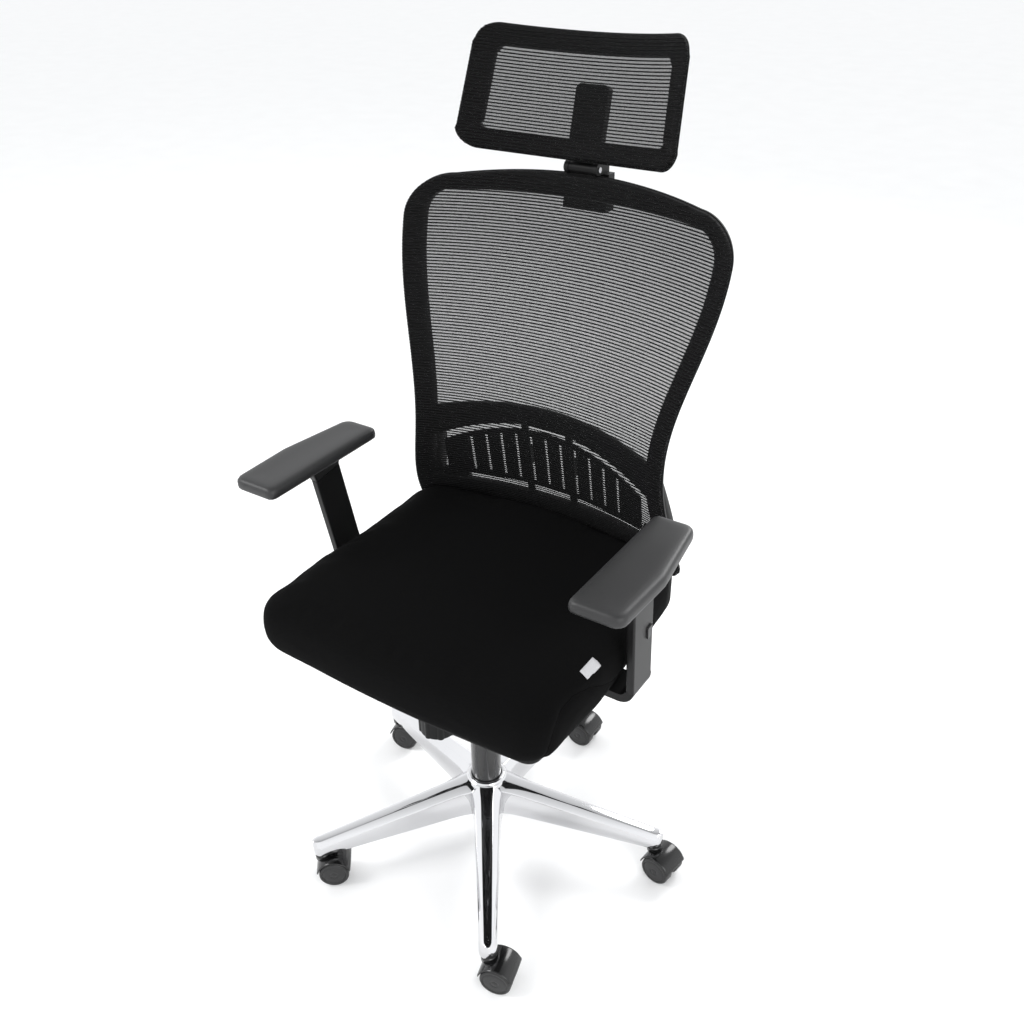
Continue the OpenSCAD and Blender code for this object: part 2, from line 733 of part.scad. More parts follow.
// Outline of the lumbar plate: flat below, arched above
module lumbar_outline(inset) {
    span = lumbar_half - inset;
    rise = lumbar_top - lumbar_end;
    low = lumbar_low - lumbar_mid + inset;
    polygon(concat(
        [[-span + 6, low], [span - 6, low], [span, low + 6]],
        [for (i = [0 : 16]) let (x = span * (1 - i / 8))
            [x, lumbar_top - lumbar_mid - inset - rise * pow(x / span, 2)]],
        [[-span, low + 6]]));
}
module xz_extrude(depth) { rotate([90, 0, 0]) linear_extrude(depth, center = true) children(); }
module lumbar_plate() {
    r = back_plan_r;
    color(dark) lumbar_frame() {
        difference() {
            intersection() {
                translate([0, -r, -100]) difference() {
                    cylinder(h = 200, r = r + lumbar_t / 2, $fn = 180);
                    translate([0, 0, -1]) cylinder(h = 202, r = r - lumbar_t / 2, $fn = 180);
                }
                translate([0, -30, 0]) xz_extrude(90) lumbar_outline(0);
            }
            for (i = [0 : lumbar_slots - 1])
                let (x = (i - (lumbar_slots - 1) / 2) * slot_pitch,
                     high = lumbar_top - lumbar_mid - 10 - 22 * pow(x / 134, 2))
                translate([x - slot_width / 2, -60, lumbar_low - lumbar_mid + 8])
                    cube([slot_width, 90, high - (lumbar_low - lumbar_mid + 8)]);
        }
        for (s = [-1, 1]) translate([s * guide_x, 0, 0]) difference() {
            translate([-10, lumbar_t / 2 - 2.6, -14]) cube([20, 13, 28]);
            translate([-guide_w / 2 - gap, lumbar_t / 2 + gap, -20])
                cube([guide_w + 2 * gap, 5 + 2 * gap, 40]);
        }
    }
}

// --- the two legs that carry the back under the seat
function arc(cx, cz, r, a0, a1, n = 8) = [for (i = [0 : n])
    let (a = a0 + (a1 - a0) * i / n) [cx + r * cos(a), cz + r * sin(a)]];
foot_top = foot_low + foot_t;
module leg_profile() {
    r_in = 14;
    r_out = r_in + leg_t;
    polygon(concat(
        [[-112, foot_top], [-112, foot_low]],
        arc(-r_in, foot_low + r_out, r_out, -90, 0),
        [[leg_t, 548], [-8, 584], [-15.2, 575], [-1.3, 540], [4.6, 526.5], [4.6, 520], [0, 510]],
        arc(-r_in, foot_top + r_in, r_in, 0, -90)));
}
module back_leg(s) {
    color(black) difference() {
        translate([s * leg_x, leg_y, 0]) rotate(-s * leg_turn) yz_extrude(leg_w) leg_profile();
        for (p = leg_bolts) translate([p[0], p[1], foot_low - 1]) cylinder(h = 30, r = 3.3);
    }
}
module back_leg_left() { back_leg(1); }
module back_leg_right() { back_leg(-1); }

// --- arms, built at the sitter's left (+X) and mirrored
arm_x = 266.6;
arm_y = 12.7;
arm_z = 455;
sleeve_h = 202;
post_t = sleeve_t - 5;
post_d = sleeve_d - 11;
post_low = 98;
carrier_t = 6;
tongue_h = 52;

module rounded(w, d, r) { offset(r) square([w - 2 * r, d - 2 * r], center = true); }
module sided(s) { mirror([s < 0 ? 1 : 0, 0, 0]) children(); }
module arm_frame() {
    translate([arm_x, arm_y, arm_z]) rotate([0, arm_splay, 0]) rotate([arm_lean, 0, 0])
        children();
}
module arm_bracket(s) {
    r_in = 12;
    r_out = r_in + sleeve_t;
    inner = arm_x - sleeve_t / 2;
    color(black) sided(s) {
        difference() {
            translate([0, arm_y + sleeve_d / 2 - 0.5, 0]) rotate([90, 0, 0])
                linear_extrude(sleeve_d - 1) polygon(concat(
                    [[150, foot_top], [150, foot_low]],
                    arc(inner - r_in, foot_low + r_out, r_out, -90, 0),
                    [[inner + sleeve_t, 480], [inner, 480]],
                    arc(inner - r_in, foot_top + r_in, r_in, 0, -90)));
            arm_frame() translate([-50, -60, -gap]) cube([100, 120, 100]);
            for (p = arm_bolts) translate([abs(p[0]), p[1], foot_low - 1])
                cylinder(h = 30, r = 3.3);
        }
        arm_frame() translate([0, 0, -6]) linear_extrude(tongue_h + 6)
            rounded(post_t, post_d, 2);
    }
}
module sleeve_window() {
    translate([0, 8, post_low - 12.3]) cube([20, 12.6, 20.6]);
}
module arm_sleeve(s) {
    color(black) sided(s) arm_frame() difference() {
        linear_extrude(sleeve_h) rounded(sleeve_t, sleeve_d, 3);
        translate([0, 0, -1]) linear_extrude(sleeve_h + 2)
            rounded(post_t + 2 * gap, post_d + 2 * gap, 2);
        sleeve_window();
    }
}
module arm_button(s) {
    color(grey) sided(s) arm_frame() translate([post_t / 2 + 2, 8.3, post_low - 12])
        cube([sleeve_t / 2 + 2.5 - post_t / 2 - 2, 12, 20]);
}
carrier_z = pad_top - pad_t - carrier_t;
carrier_x = pad_inner + 35;
module arm_post(s) {
    top = (carrier_z - arm_z) / (cos(arm_lean) * cos(arm_splay));
    color(dark) sided(s) {
        arm_frame() translate([0, 0, post_low]) linear_extrude(top - post_low + 2)
            rounded(post_t, post_d, 2);
        arm_frame() hull() {
            translate([0, 0, sleeve_h + 1]) linear_extrude(1)
                rounded(sleeve_t, sleeve_d, 3);
            translate([0, 0, top - 3]) linear_extrude(1)
                rounded(sleeve_t + 8, sleeve_d + 10, 4);
        }
        translate([carrier_x, (pad_back - pad_front) / 2, carrier_z]) linear_extrude(carrier_t - gap)
            rounded(48, pad_front + pad_back - 60, 8);
    }
}
module pad_outline(inset) {
    offset(delta = -inset) hull() {
        translate([pad_inner + 8, pad_back - 8]) circle(8);
        translate([pad_inner + 9, -pad_front + 9]) circle(9);
        translate([pad_inner + pad_w - 33, pad_back - 16]) circle(16);
        translate([pad_inner + pad_w - 17, -pad_front + 14]) circle(14);
        translate([pad_inner + pad_w - 30, -pad_front / 3]) circle(30);
    }
}
module arm_pad(s) {
    color(grey) sided(s) hull() {
        translate([0, 0, pad_top - pad_t]) linear_extrude(1) pad_outline(4);
        translate([0, 0, pad_top - pad_t + 4]) linear_extrude(pad_t - 8) pad_outline(0);
        translate([0, 0, pad_top - 1]) linear_extrude(1) pad_outline(4);
    }
}
module arm_bracket_left() { arm_bracket(1); }
module arm_bracket_right() { arm_bracket(-1); }
module arm_sleeve_left() { arm_sleeve(1); }
module arm_sleeve_right() { arm_sleeve(-1); }
module arm_post_left() { arm_post(1); }
module arm_post_right() { arm_post(-1); }
module arm_pad_left() { arm_pad(1); }
module arm_pad_right() { arm_pad(-1); }
module arm_button_left() { arm_button(1); }
module arm_button_right() { arm_button(-1); }

// --- headrest: the stem turns on a pin above the top rail of the back
hinge_y = back_y(back_top) - 2.4;
hinge_z = back_top + 10;
hinge_r = 4;
barrel_r = 7.5;
ear_r = 8.5;
ear_in = 20.3;
ear_out = 27;
socket_half = 36;
socket_low = back_top - 52;
socket_back = hinge_y + 30;
head_low_z = 9;
head_y = -13.4;
head_taper = 12;
bracket_low = 18;
bracket_high = 112;
blade_w = 34;
blade_t = 5;

module headrest_socket() {
    top = back_top + 1.6;
    color(black) difference() {
        union() {
            yz_extrude(2 * socket_half) polygon(concat(
                [for (i = [0 : 4]) let (z = socket_low + (back_top + 1.6 - socket_low) * i / 4)
                    [back_y(z) + frame_t / 2 + gap + 0.1, z]],
                [[socket_back, top], [socket_back, socket_low]]));
            for (s = [-1, 1]) translate([s * (ear_in + ear_out) / 2, 0, 0])
                yz_extrude(ear_out - ear_in) hull() {
                    translate([hinge_y, hinge_z]) circle(ear_r, $fn = 32);
                    translate([hinge_y + 16, top - 0.1])
                        square([socket_back - hinge_y - 16, hinge_z + ear_r - top]);
                }
        }
        translate([-50, hinge_y, hinge_z]) rotate([0, 90, 0])
            cylinder(h = 100, r = hinge_r + 0.02);
    }
}
module headrest_hinge_pin() {
    color(steel) translate([-ear_out - 2, hinge_y, hinge_z]) rotate([0, 90, 0])
        cylinder(h = 2 * ear_out + 4, r = hinge_r);
}
module head_frame() { translate([0, hinge_y, hinge_z]) rotate([-head_lean, 0, 0]) children(); }
module headrest_stem() {
    color(dark) head_frame() difference() {
        union() {
            translate([-ear_in + gap, 0, 0]) rotate([0, 90, 0])
                cylinder(h = 2 * (ear_in - gap), r = barrel_r);
            translate([-blade_w / 2, -blade_t / 2, 0])
                cube([blade_w, blade_t, bracket_low + head_travel + 30]);
        }
        translate([-50, 0, 0]) rotate([0, 90, 0]) cylinder(h = 100, r = hinge_r + fit);
    }
}
module headrest_bracket() {
    front = head_y + head_t / 2 + gap;
    color(black) head_frame() difference() {
        translate([0, front / 2 + 4, (bracket_low + bracket_high) / 2]) xz_extrude(8 - front)
            rounded(52, bracket_high - bracket_low, 8);
        translate([-blade_w / 2 - gap, -blade_t / 2 - gap, 0])
            cube([blade_w + 2 * gap, blade_t + 2 * gap, bracket_high - 6]);
    }
}
// Right half of the headrest's outline, drawn in by a distance, from bottom to top middle
function head_half_at(z) = head_half - head_taper * z / head_h;
function head_outline(in, r) = mirrored(concat(
    [for (i = [0 : 4]) [i / 5 * (head_half - in - r), in]],
    arc(head_half - in - r, in + r, r, -90, -20, 4),
    [for (i = [0 : 5]) let (z = in + r + (head_h - 2 * in - 2 * r) * i / 5)
        [head_half_at(z) - in, z]],
    arc(head_half_at(head_h) - in - r, head_h - in - r, r, 20, 90, 4),
    [for (i = [1 : 4]) [(head_half_at(head_h) - in - r) * (1 - i / 4), head_h - in]]));
head_outer = head_outline(0, 28);
head_inner = head_outline(head_rail, 10);
function head_pt(x, z, off) = [x, head_y - plan_sag(x, head_plan_r) + off, z + head_low_z];
module headrest_frame() {
    color(black) head_frame() loop_skin([for (i = [0 : len(head_outer) - 1])
        [for (s = rail_section(head_t))
            let (p = head_outer[i] + (head_inner[i] - head_outer[i]) * s[0])
            head_pt(p[0], p[1], s[1])]]);
}
module headrest_mesh() {
    color(grey) head_frame() sheet(midway(head_outer, head_inner, 0.15), [0, head_h / 2], mesh_t,
        function(x, z, off) head_pt(x, z, off - head_t / 2 - mesh_gap - mesh_t));
}

star_base();
castor_sockets();
column_tube();
column_bush();
thrust_bearing();
castor_housing(0);  // castor_1_housing
castor_wheels(0);  // castor_1_wheels
castor_housing(1);  // castor_2_housing
castor_wheels(1);  // castor_2_wheels
castor_housing(2);  // castor_3_housing
castor_wheels(2);  // castor_3_wheels
castor_housing(3);  // castor_4_housing
castor_wheels(3);  // castor_4_wheels
castor_housing(4);  // castor_5_housing
castor_wheels(4);  // castor_5_wheels
piston_rod();
piston_head();
rod_clip();
gas_cylinder();
cylinder_gland();
release_pin();
tilt_housing();
tilt_axle();
tension_spring();
lever_bush();
height_lever();
lever_paddle();
lock_lever();
lock_paddle();
tilt_plate();
tension_bolt();
tension_knob();
seat_pan();
seat_bolts();
seat_cushion();
seat_tag();
arm_bracket_left();
arm_bracket_right();
arm_sleeve_left();
arm_sleeve_right();
arm_post_left();
arm_post_right();
arm_pad_left();
arm_pad_right();
arm_button_left();
arm_button_right();
back_leg_left();
back_leg_right();
back_frame();
back_mesh();
lumbar_plate();
headrest_socket();
headrest_hinge_pin();
headrest_stem();
headrest_bracket();
headrest_frame();
headrest_mesh();
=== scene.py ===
# %% [markdown]
# # A swivel office chair, dressed in Blender
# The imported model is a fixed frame: it says where every part is and what moves with what.
# This lesson keeps its mechanical parts, and builds the cloth, the padding, the moulded rims
# and the polished castings around them.  Everything is in metres, +Z up, and the sitter
# faces -Y.

# %% Load the frame
import json
import math

import bmesh
import bpy
import numpy as np
from mathutils import Matrix, Vector
from mathutils.bvhtree import BVHTree


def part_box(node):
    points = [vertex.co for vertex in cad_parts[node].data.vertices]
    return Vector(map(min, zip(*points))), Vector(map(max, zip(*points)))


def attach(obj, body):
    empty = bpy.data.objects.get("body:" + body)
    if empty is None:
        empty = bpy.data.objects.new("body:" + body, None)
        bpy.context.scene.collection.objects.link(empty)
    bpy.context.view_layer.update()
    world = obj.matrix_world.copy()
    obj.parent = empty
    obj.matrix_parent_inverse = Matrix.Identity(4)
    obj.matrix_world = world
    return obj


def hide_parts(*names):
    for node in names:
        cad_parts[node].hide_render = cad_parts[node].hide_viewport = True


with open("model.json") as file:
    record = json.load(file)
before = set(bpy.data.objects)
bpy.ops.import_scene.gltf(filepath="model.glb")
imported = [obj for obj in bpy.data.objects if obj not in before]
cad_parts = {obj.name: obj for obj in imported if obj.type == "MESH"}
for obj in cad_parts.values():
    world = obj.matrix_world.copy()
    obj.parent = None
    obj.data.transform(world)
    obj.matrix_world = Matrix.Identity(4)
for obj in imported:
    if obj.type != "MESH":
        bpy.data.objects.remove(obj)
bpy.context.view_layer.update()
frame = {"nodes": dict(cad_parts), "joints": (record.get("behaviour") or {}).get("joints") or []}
nodes = frame["nodes"]

# %% [markdown]
# ## Helpers for meshes
# Most pieces here are lofts: a short closed section is repeated along a path, and the rings
# are joined by quads.  One helper does the joining, another turns the arrays into an object
# that sits at the origin, so the patterns on Object coordinates stay where they are put.


# %% Mesh helpers
def piece(name, verts, faces, smooth=True):
    """A mesh object at the origin, with its normals turned outwards."""
    mesh = bpy.data.meshes.new(name)
    mesh.from_pydata([tuple(v) for v in verts], [], [tuple(f) for f in faces])
    bm = bmesh.new()
    bm.from_mesh(mesh)
    bmesh.ops.remove_doubles(bm, verts=bm.verts, dist=1e-6)
    bmesh.ops.recalc_face_normals(bm, faces=bm.faces)
    bm.to_mesh(mesh)
    bm.free()
    mesh.polygons.foreach_set("use_smooth", [smooth] * len(mesh.polygons))
    obj = bpy.data.objects.new(name, mesh)
    bpy.context.scene.collection.objects.link(obj)
    return obj


def loft(rings, loop=False, caps=True):
    """Vertices and quads that join rings of equal length; loop joins the last to the first."""
    rings = np.asarray(rings, float)
    m, n = rings.shape[:2]
    faces = []
    for i in range(m if loop else m - 1):
        j = (i + 1) % m
        for k in range(n):
            k2 = (k + 1) % n
            faces.append((i * n + k, i * n + k2, j * n + k2, j * n + k))
    if caps and not loop:
        faces += [tuple(range(n))[::-1], tuple(range((m - 1) * n, m * n))]
    return rings.reshape(-1, 3), faces


def join(parts):
    """Several (verts, faces) pairs as one."""
    verts, faces, base = [], [], 0
    for v, f in parts:
        verts += [tuple(p) for p in v]
        faces += [tuple(base + i for i in g) for g in f]
        base += len(v)
    return verts, faces


def lathe(profile, sides=48):
    """A turned part about Z from (radius, height) pairs; a radius of 0 closes it."""
    rings = []
    for r, z in profile:
        a = np.linspace(0, 2 * math.pi, sides, endpoint=False)
        rings.append(np.stack([max(r, 1e-5) * np.cos(a), max(r, 1e-5) * np.sin(a), 0 * a + z], 1))
    return loft(rings)


def place(v, matrix):
    """Points moved by a matrix."""
    v = np.asarray(v, float)
    m = np.array(matrix)
    return v @ m[:3, :3].T + m[:3, 3]


def rounded_section(half_w, half_h, r, steps=4):
    """A rounded rectangle, anticlockwise, about (0, 0)."""
    out = []
    for cx, cy, a0 in ((half_w - r, half_h - r, 0), (r - half_w, half_h - r, 90),
                       (r - half_w, r - half_h, 180), (half_w - r, r - half_h, 270)):
        for a in np.radians(a0 + np.linspace(0, 90, steps)):
            out.append((cx + r * math.cos(a), cy + r * math.sin(a)))
    return out


def subdivide(obj, levels=1):
    """A live Subdivision Surface, the same in the view and the render."""
    mod = obj.modifiers.new("Smooth", "SUBSURF")
    mod.levels = mod.render_levels = levels
    return obj


def settle(obj):
    """Bakes the modifiers into a plain mesh and removes them."""
    view = bpy.context.evaluated_depsgraph_get()
    mesh = bpy.data.meshes.new_from_object(obj.evaluated_get(view))
    obj.modifiers.clear()
    obj.data = mesh
    return obj


print("helpers ready")

# %% [markdown]
# ## Camera and light
# The chair is seen from high up at its front left.  The camera is set by its place and by
# the three directions of its sensor, which says a small roll exactly.  Big soft lamps and a
# pale surrounding make long clean highlights on black plastic and chrome.

# %% Camera
eye = Vector((0.775455, -1.062242, 1.465801))
to_right = Vector((0.829142, 0.558587, -0.022435)).normalized()
to_back = Vector((0.486710, -0.701544, 0.520528)).normalized()
to_up = to_back.cross(to_right).normalized()
camera_data = bpy.data.cameras.new("view")
camera_data.lens, camera_data.sensor_width = 37.382, 36
camera_data.shift_x, camera_data.shift_y = 0.01333, -0.00255
camera_data.clip_end = 200
camera = bpy.data.objects.new("view", camera_data)
turn = Matrix((to_right, to_up, to_back)).transposed().to_4x4()
camera.matrix_world = Matrix.Translation(eye) @ turn
bpy.context.scene.collection.objects.link(camera)
bpy.context.scene.camera = camera
print("camera at", [round(c, 3) for c in eye])


# %% Lights, floor and surrounding
def lamp(name, at, aim, size, power):
    data = bpy.data.lights.new(name, "AREA")
    data.shape, data.size, data.energy = "DISK", size, power
    obj = bpy.data.objects.new(name, data)
    obj.location = at
    obj.rotation_euler = (Vector(aim) - Vector(at)).to_track_quat("-Z", "Y").to_euler()
    bpy.context.scene.collection.objects.link(obj)


lamp("key", (-2.2, -1.8, 2.9), (0, 0, 0.6), 1.6, 60)
lamp("fill", (2.6, -1.2, 1.6), (0, 0, 0.5), 1.8, 26)
lamp("rim", (0.6, 2.6, 2.4), (0, 0, 0.7), 1.4, 45)
world = bpy.data.worlds.new("studio")
bpy.context.scene.world = world
world.use_nodes = True
world.node_tree.nodes["Background"].inputs["Color"].default_value = (0.93, 0.94, 0.95, 1)
aim = world.node_tree.nodes.new("ShaderNodeTexCoord")
height = world.node_tree.nodes.new("ShaderNodeSeparateXYZ")
glow = world.node_tree.nodes.new("ShaderNodeMapRange")
glow.inputs["From Min"].default_value, glow.inputs["From Max"].default_value = 0.5, 1.0
glow.inputs["To Min"].default_value, glow.inputs["To Max"].default_value = 1.48, 0.5
world.node_tree.links.new(aim.outputs["Generated"], height.inputs[0])
world.node_tree.links.new(height.outputs["Z"], glow.inputs["Value"])
world.node_tree.links.new(glow.outputs[0], world.node_tree.nodes["Background"].inputs["Strength"])
bpy.context.scene.view_settings.view_transform = "Standard"
floor_mesh = bpy.data.meshes.new("floor")
FLOOR = 40  # half a side, so that the floor fills every view
corners = [(x * FLOOR, y * FLOOR, 0) for x, y in ((-1, -1), (1, -1), (1, 1), (-1, 1))]
floor_mesh.from_pydata(corners, [], [(0, 1, 2, 3)])
floor = bpy.data.objects.new("floor", floor_mesh)
bpy.context.scene.collection.objects.link(floor)
print("lights", 3)

# %% [markdown]
# ## Shared surface effects
# Moulded plastic, painted steel and cloth differ mostly in how their surface is broken up.
# Two node groups hold what they share: a fine grain with slow patches of colour, and a weave
# of crossing threads.  Each material places a group with its own sizes, so one change here
# would reach all of them.


# %% Node group helpers
def new_group(name, inputs, outputs):
    tree = bpy.data.node_groups.new(name, "ShaderNodeTree")
    kind = "NodeSocketFloat"
    for label, value in inputs:
        tree.interface.new_socket(label, in_out="INPUT", socket_type=kind).default_value = value
    for label in outputs:
        tree.interface.new_socket(label, in_out="OUTPUT", socket_type=kind)
    return tree, tree.nodes.new("NodeGroupInput"), tree.nodes.new("NodeGroupOutput")


def math_node(tree, op, a, b=None, c=None):
    """A Math node; a number sets a socket and an output is wired to it."""
    node = tree.nodes.new("ShaderNodeMath")
    node.operation = op
    for i, v in enumerate((a, b, c)):
        if v is None:
            continue
        if isinstance(v, (int, float)):
            node.inputs[i].default_value = v
        else:
            tree.links.new(v, node.inputs[i])
    return node.outputs[0]


def object_place(tree):
    return tree.nodes.new("ShaderNodeTexCoord").outputs["Object"]


# %% Grain: moulded skin and slow patches
grain, g_in, g_out = new_group("Moulded grain", [("Scale", 900), ("Patch scale", 6)],
                               ["Height", "Patch"])
where = object_place(grain)
noise = grain.nodes.new("ShaderNodeTexNoise")
noise.inputs["Detail"].default_value = 3
grain.links.new(where, noise.inputs["Vector"])
grain.links.new(g_in.outputs["Scale"], noise.inputs["Scale"])
cells = grain.nodes.new("ShaderNodeTexVoronoi")
grain.links.new(where, cells.inputs["Vector"])
grain.links.new(g_in.outputs["Scale"], cells.inputs["Scale"])
patch = grain.nodes.new("ShaderNodeTexNoise")
patch.inputs["Detail"].default_value = 4
grain.links.new(where, patch.inputs["Vector"])
grain.links.new(g_in.outputs["Patch scale"], patch.inputs["Scale"])
mixed = math_node(grain, "ADD", noise.outputs["Fac"], cells.outputs["Distance"])
grain.links.new(mixed, g_out.inputs["Height"])
grain.links.new(patch.outputs["Fac"], g_out.inputs["Patch"])
print("group", grain.name)

# %% Weave: crossing threads on two directions of the piece
weave, w_in, w_out = new_group("Crossed threads", [("Pitch", 0.0014)], ["Height", "Gap"])
split = weave.nodes.new("ShaderNodeSeparateXYZ")
weave.links.new(object_place(weave), split.inputs[0])
rate = math_node(weave, "DIVIDE", 2 * math.pi, w_in.outputs["Pitch"])
along = math_node(weave, "ADD", split.outputs["Y"], split.outputs["Z"])
warp = math_node(weave, "SINE", math_node(weave, "MULTIPLY", split.outputs["X"], rate))
weft = math_node(weave, "SINE", math_node(weave, "MULTIPLY", along, rate))
product = math_node(weave, "MULTIPLY", warp, weft)
height = math_node(weave, "MULTIPLY_ADD", product, 0.5, 0.5)
both = math_node(weave, "MAXIMUM", math_node(weave, "ABSOLUTE", warp),
                 math_node(weave, "ABSOLUTE", weft))
weave.links.new(height, w_out.inputs["Height"])
weave.links.new(both, w_out.inputs["Gap"])
print("group", weave.name)


# %% One recipe for a material
def surface(name, dark, light, rough=(0.4, 0.5), group=None, sizes=(), bump=0.1, depth=0.0002,
            **sockets):
    """A Principled material: colour and roughness wander between two values with the
    group's slow output, and its fine output lifts the surface."""
    mat = bpy.data.materials.new(name)
    mat.use_nodes = True
    tree = mat.node_tree
    shader = tree.nodes["Principled BSDF"]
    for label, value in sockets.items():
        shader.inputs[label.replace("_", " ")].default_value = value
    node = tree.nodes.new("ShaderNodeGroup")
    node.node_tree = group or grain
    for label, value in sizes:
        node.inputs[label].default_value = value
    slow = node.outputs[1]
    ramp = tree.nodes.new("ShaderNodeValToRGB")
    ramp.color_ramp.elements[0].position, ramp.color_ramp.elements[1].position = 0.3, 0.7
    ramp.color_ramp.elements[0].color = (*dark, 1)
    ramp.color_ramp.elements[1].color = (*light, 1)
    tree.links.new(slow, ramp.inputs["Fac"])
    tree.links.new(ramp.outputs["Color"], shader.inputs["Base Color"])
    spread = tree.nodes.new("ShaderNodeMapRange")
    spread.inputs["To Min"].default_value, spread.inputs["To Max"].default_value = rough
    tree.links.new(slow, spread.inputs["Value"])
    tree.links.new(spread.outputs[0], shader.inputs["Roughness"])
    lift = tree.nodes.new("ShaderNodeBump")
    lift.inputs["Strength"].default_value = bump
    lift.inputs["Distance"].default_value = depth
    tree.links.new(node.outputs["Height"], lift.inputs["Height"])
    tree.links.new(lift.outputs["Normal"], shader.inputs["Normal"])
    return mat


def grey(v, blue=1.03):
    return (v, v, v * blue)


def dress(obj, mat):
    """Every slot of the object gets this material."""
    obj.data.materials.clear()
    obj.data.materials.append(mat)
    return obj


print("recipe ready")

# %% Finishes
PAINT = surface("gloss_black_paint", grey(0.006), grey(0.009), (0.16, 0.24), bump=0.02,
                Coat_Weight=0.4)
STEEL = surface("zinc_plated_steel", grey(0.30), grey(0.42), (0.28, 0.42), bump=0.05,
                Metallic=1.0)
GROUND = surface("ground_steel", grey(0.5), grey(0.58), (0.14, 0.22), bump=0.02, Metallic=1.0)
CHROME = surface("polished_chrome", grey(0.60, 1.02), grey(0.68, 1.02), (0.03, 0.06),
                 sizes=[("Patch scale", 3)], bump=0.006, Metallic=1.0)
MOULDED = surface("moulded_black", grey(0.003), grey(0.006), (0.42, 0.55), bump=0.16,
                  Specular_IOR_Level=0.18)
SATIN = surface("satin_arm_plastic", grey(0.004), grey(0.007), (0.33, 0.42), bump=0.10,
                Specular_IOR_Level=0.22)
PAD_SKIN = surface("pad_skin", grey(0.015), grey(0.022), (0.40, 0.50),
                   sizes=[("Scale", 1400)], bump=0.22, Specular_IOR_Level=0.45)
GLOSS = surface("castor_gloss", grey(0.004), grey(0.007), (0.12, 0.22), bump=0.02)
TREAD = surface("castor_tread", grey(0.008), grey(0.013), (0.38, 0.5), bump=0.1)
LUMBAR = surface("lumbar_plastic", grey(0.003), grey(0.005), (0.38, 0.5), bump=0.12,
                 Specular_IOR_Level=0.16)
BUTTON = surface("button_plastic", grey(0.02), grey(0.03), (0.35, 0.45), bump=0.08)
SPRING = surface("spring_steel", grey(0.10), grey(0.17), (0.3, 0.42), bump=0.05, Metallic=1.0)
SEAT_CLOTH = surface("seat_cloth", grey(0.0016), grey(0.0034), (0.85, 0.95), group=weave,
                     sizes=[("Pitch", 0.0013)], bump=0.35, depth=0.0003, Specular_IOR_Level=0.05)
RIB_CLOTH = surface("rib_thread", grey(0.0030), grey(0.006), (0.7, 0.85), group=weave,
                    sizes=[("Pitch", 0.0008)], bump=0.3, depth=0.0001, Specular_IOR_Level=0.12)
TAG_CLOTH = surface("tag_cloth", grey(0.42), grey(0.52), (0.75, 0.85), group=weave,
                    sizes=[("Pitch", 0.0009)], bump=0.3, depth=0.0001)

floor_skin = surface("floor_card", (0.92, 0.92, 0.92), (0.94, 0.94, 0.94), (0.9, 0.95), bump=0.0)
dress(floor, floor_skin)

# The net between the ribs lets light through its gaps: its Alpha follows the threads
NET = surface("mesh_net", grey(0.006), grey(0.010), (0.7, 0.8), group=weave,
              sizes=[("Pitch", 0.0021)], bump=0.2, depth=0.0001, Specular_IOR_Level=0.1)
net_tree = NET.node_tree
net_threads = next(n for n in net_tree.nodes if n.bl_idname == "ShaderNodeGroup")
cover = net_tree.nodes.new("ShaderNodeMapRange")
cover.inputs["From Min"].default_value, cover.inputs["From Max"].default_value = 0.45, 1.0
cover.inputs["To Min"].default_value, cover.inputs["To Max"].default_value = 0.12, 0.62
net_tree.links.new(net_threads.outputs["Gap"], cover.inputs["Value"])
net_tree.links.new(cover.outputs[0], net_tree.nodes["Principled BSDF"].inputs["Alpha"])
print("materials", len(bpy.data.materials))

# %% [markdown]
# ## The curve of the back
# The back is one surface: it leans with height and is an arc in plan.  Every part of the
# back, the rim, the net and its ribs, is drawn on that surface with a distance in front of
# or behind it, so they can never drift apart.

# %% The back's surface
BACK_LOW, BACK_TOP = 0.527, 1.078
CREST_Y, CREST_Z, WAVE = 0.193, 0.700, 0.400
RIM_THICK, RAIL_SIDE, RAIL_TOP, RAIL_LOW = 0.020, 0.028, 0.033, 0.048


def back_y(z):
    z = np.asarray(z, float)
    up = CREST_Y + 0.100 * (1 - np.cos(np.pi * np.clip((z - CREST_Z) / WAVE, 0, 1))) / 2
    down = CREST_Y + 0.119 * (1 - np.cos(np.pi * (CREST_Z - z) / WAVE)) / 2
    return np.where(z > CREST_Z, up, down)


def sag(x, radius):
    return radius - np.sqrt(radius * radius - np.asarray(x, float) ** 2)


def on_back(x, z, off):
    """A point of the back; off is measured backwards."""
    x, z = np.broadcast_arrays(np.asarray(x, float), np.asarray(z, float))
    return np.stack([x, back_y(z) - sag(x, 0.580) + off, z], -1)


def back_half(z):
    z = np.asarray(z, float)
    low = 0.219 + 0.024 * (1 - np.cos(np.pi * (0.715 - z) / (0.715 - BACK_LOW))) / 2
    high = 0.219 + 0.049 * (1 - np.cos(np.pi * (z - 0.715) / (BACK_TOP - 0.073 - 0.715))) / 2
    return np.where(z < 0.715, low, high)


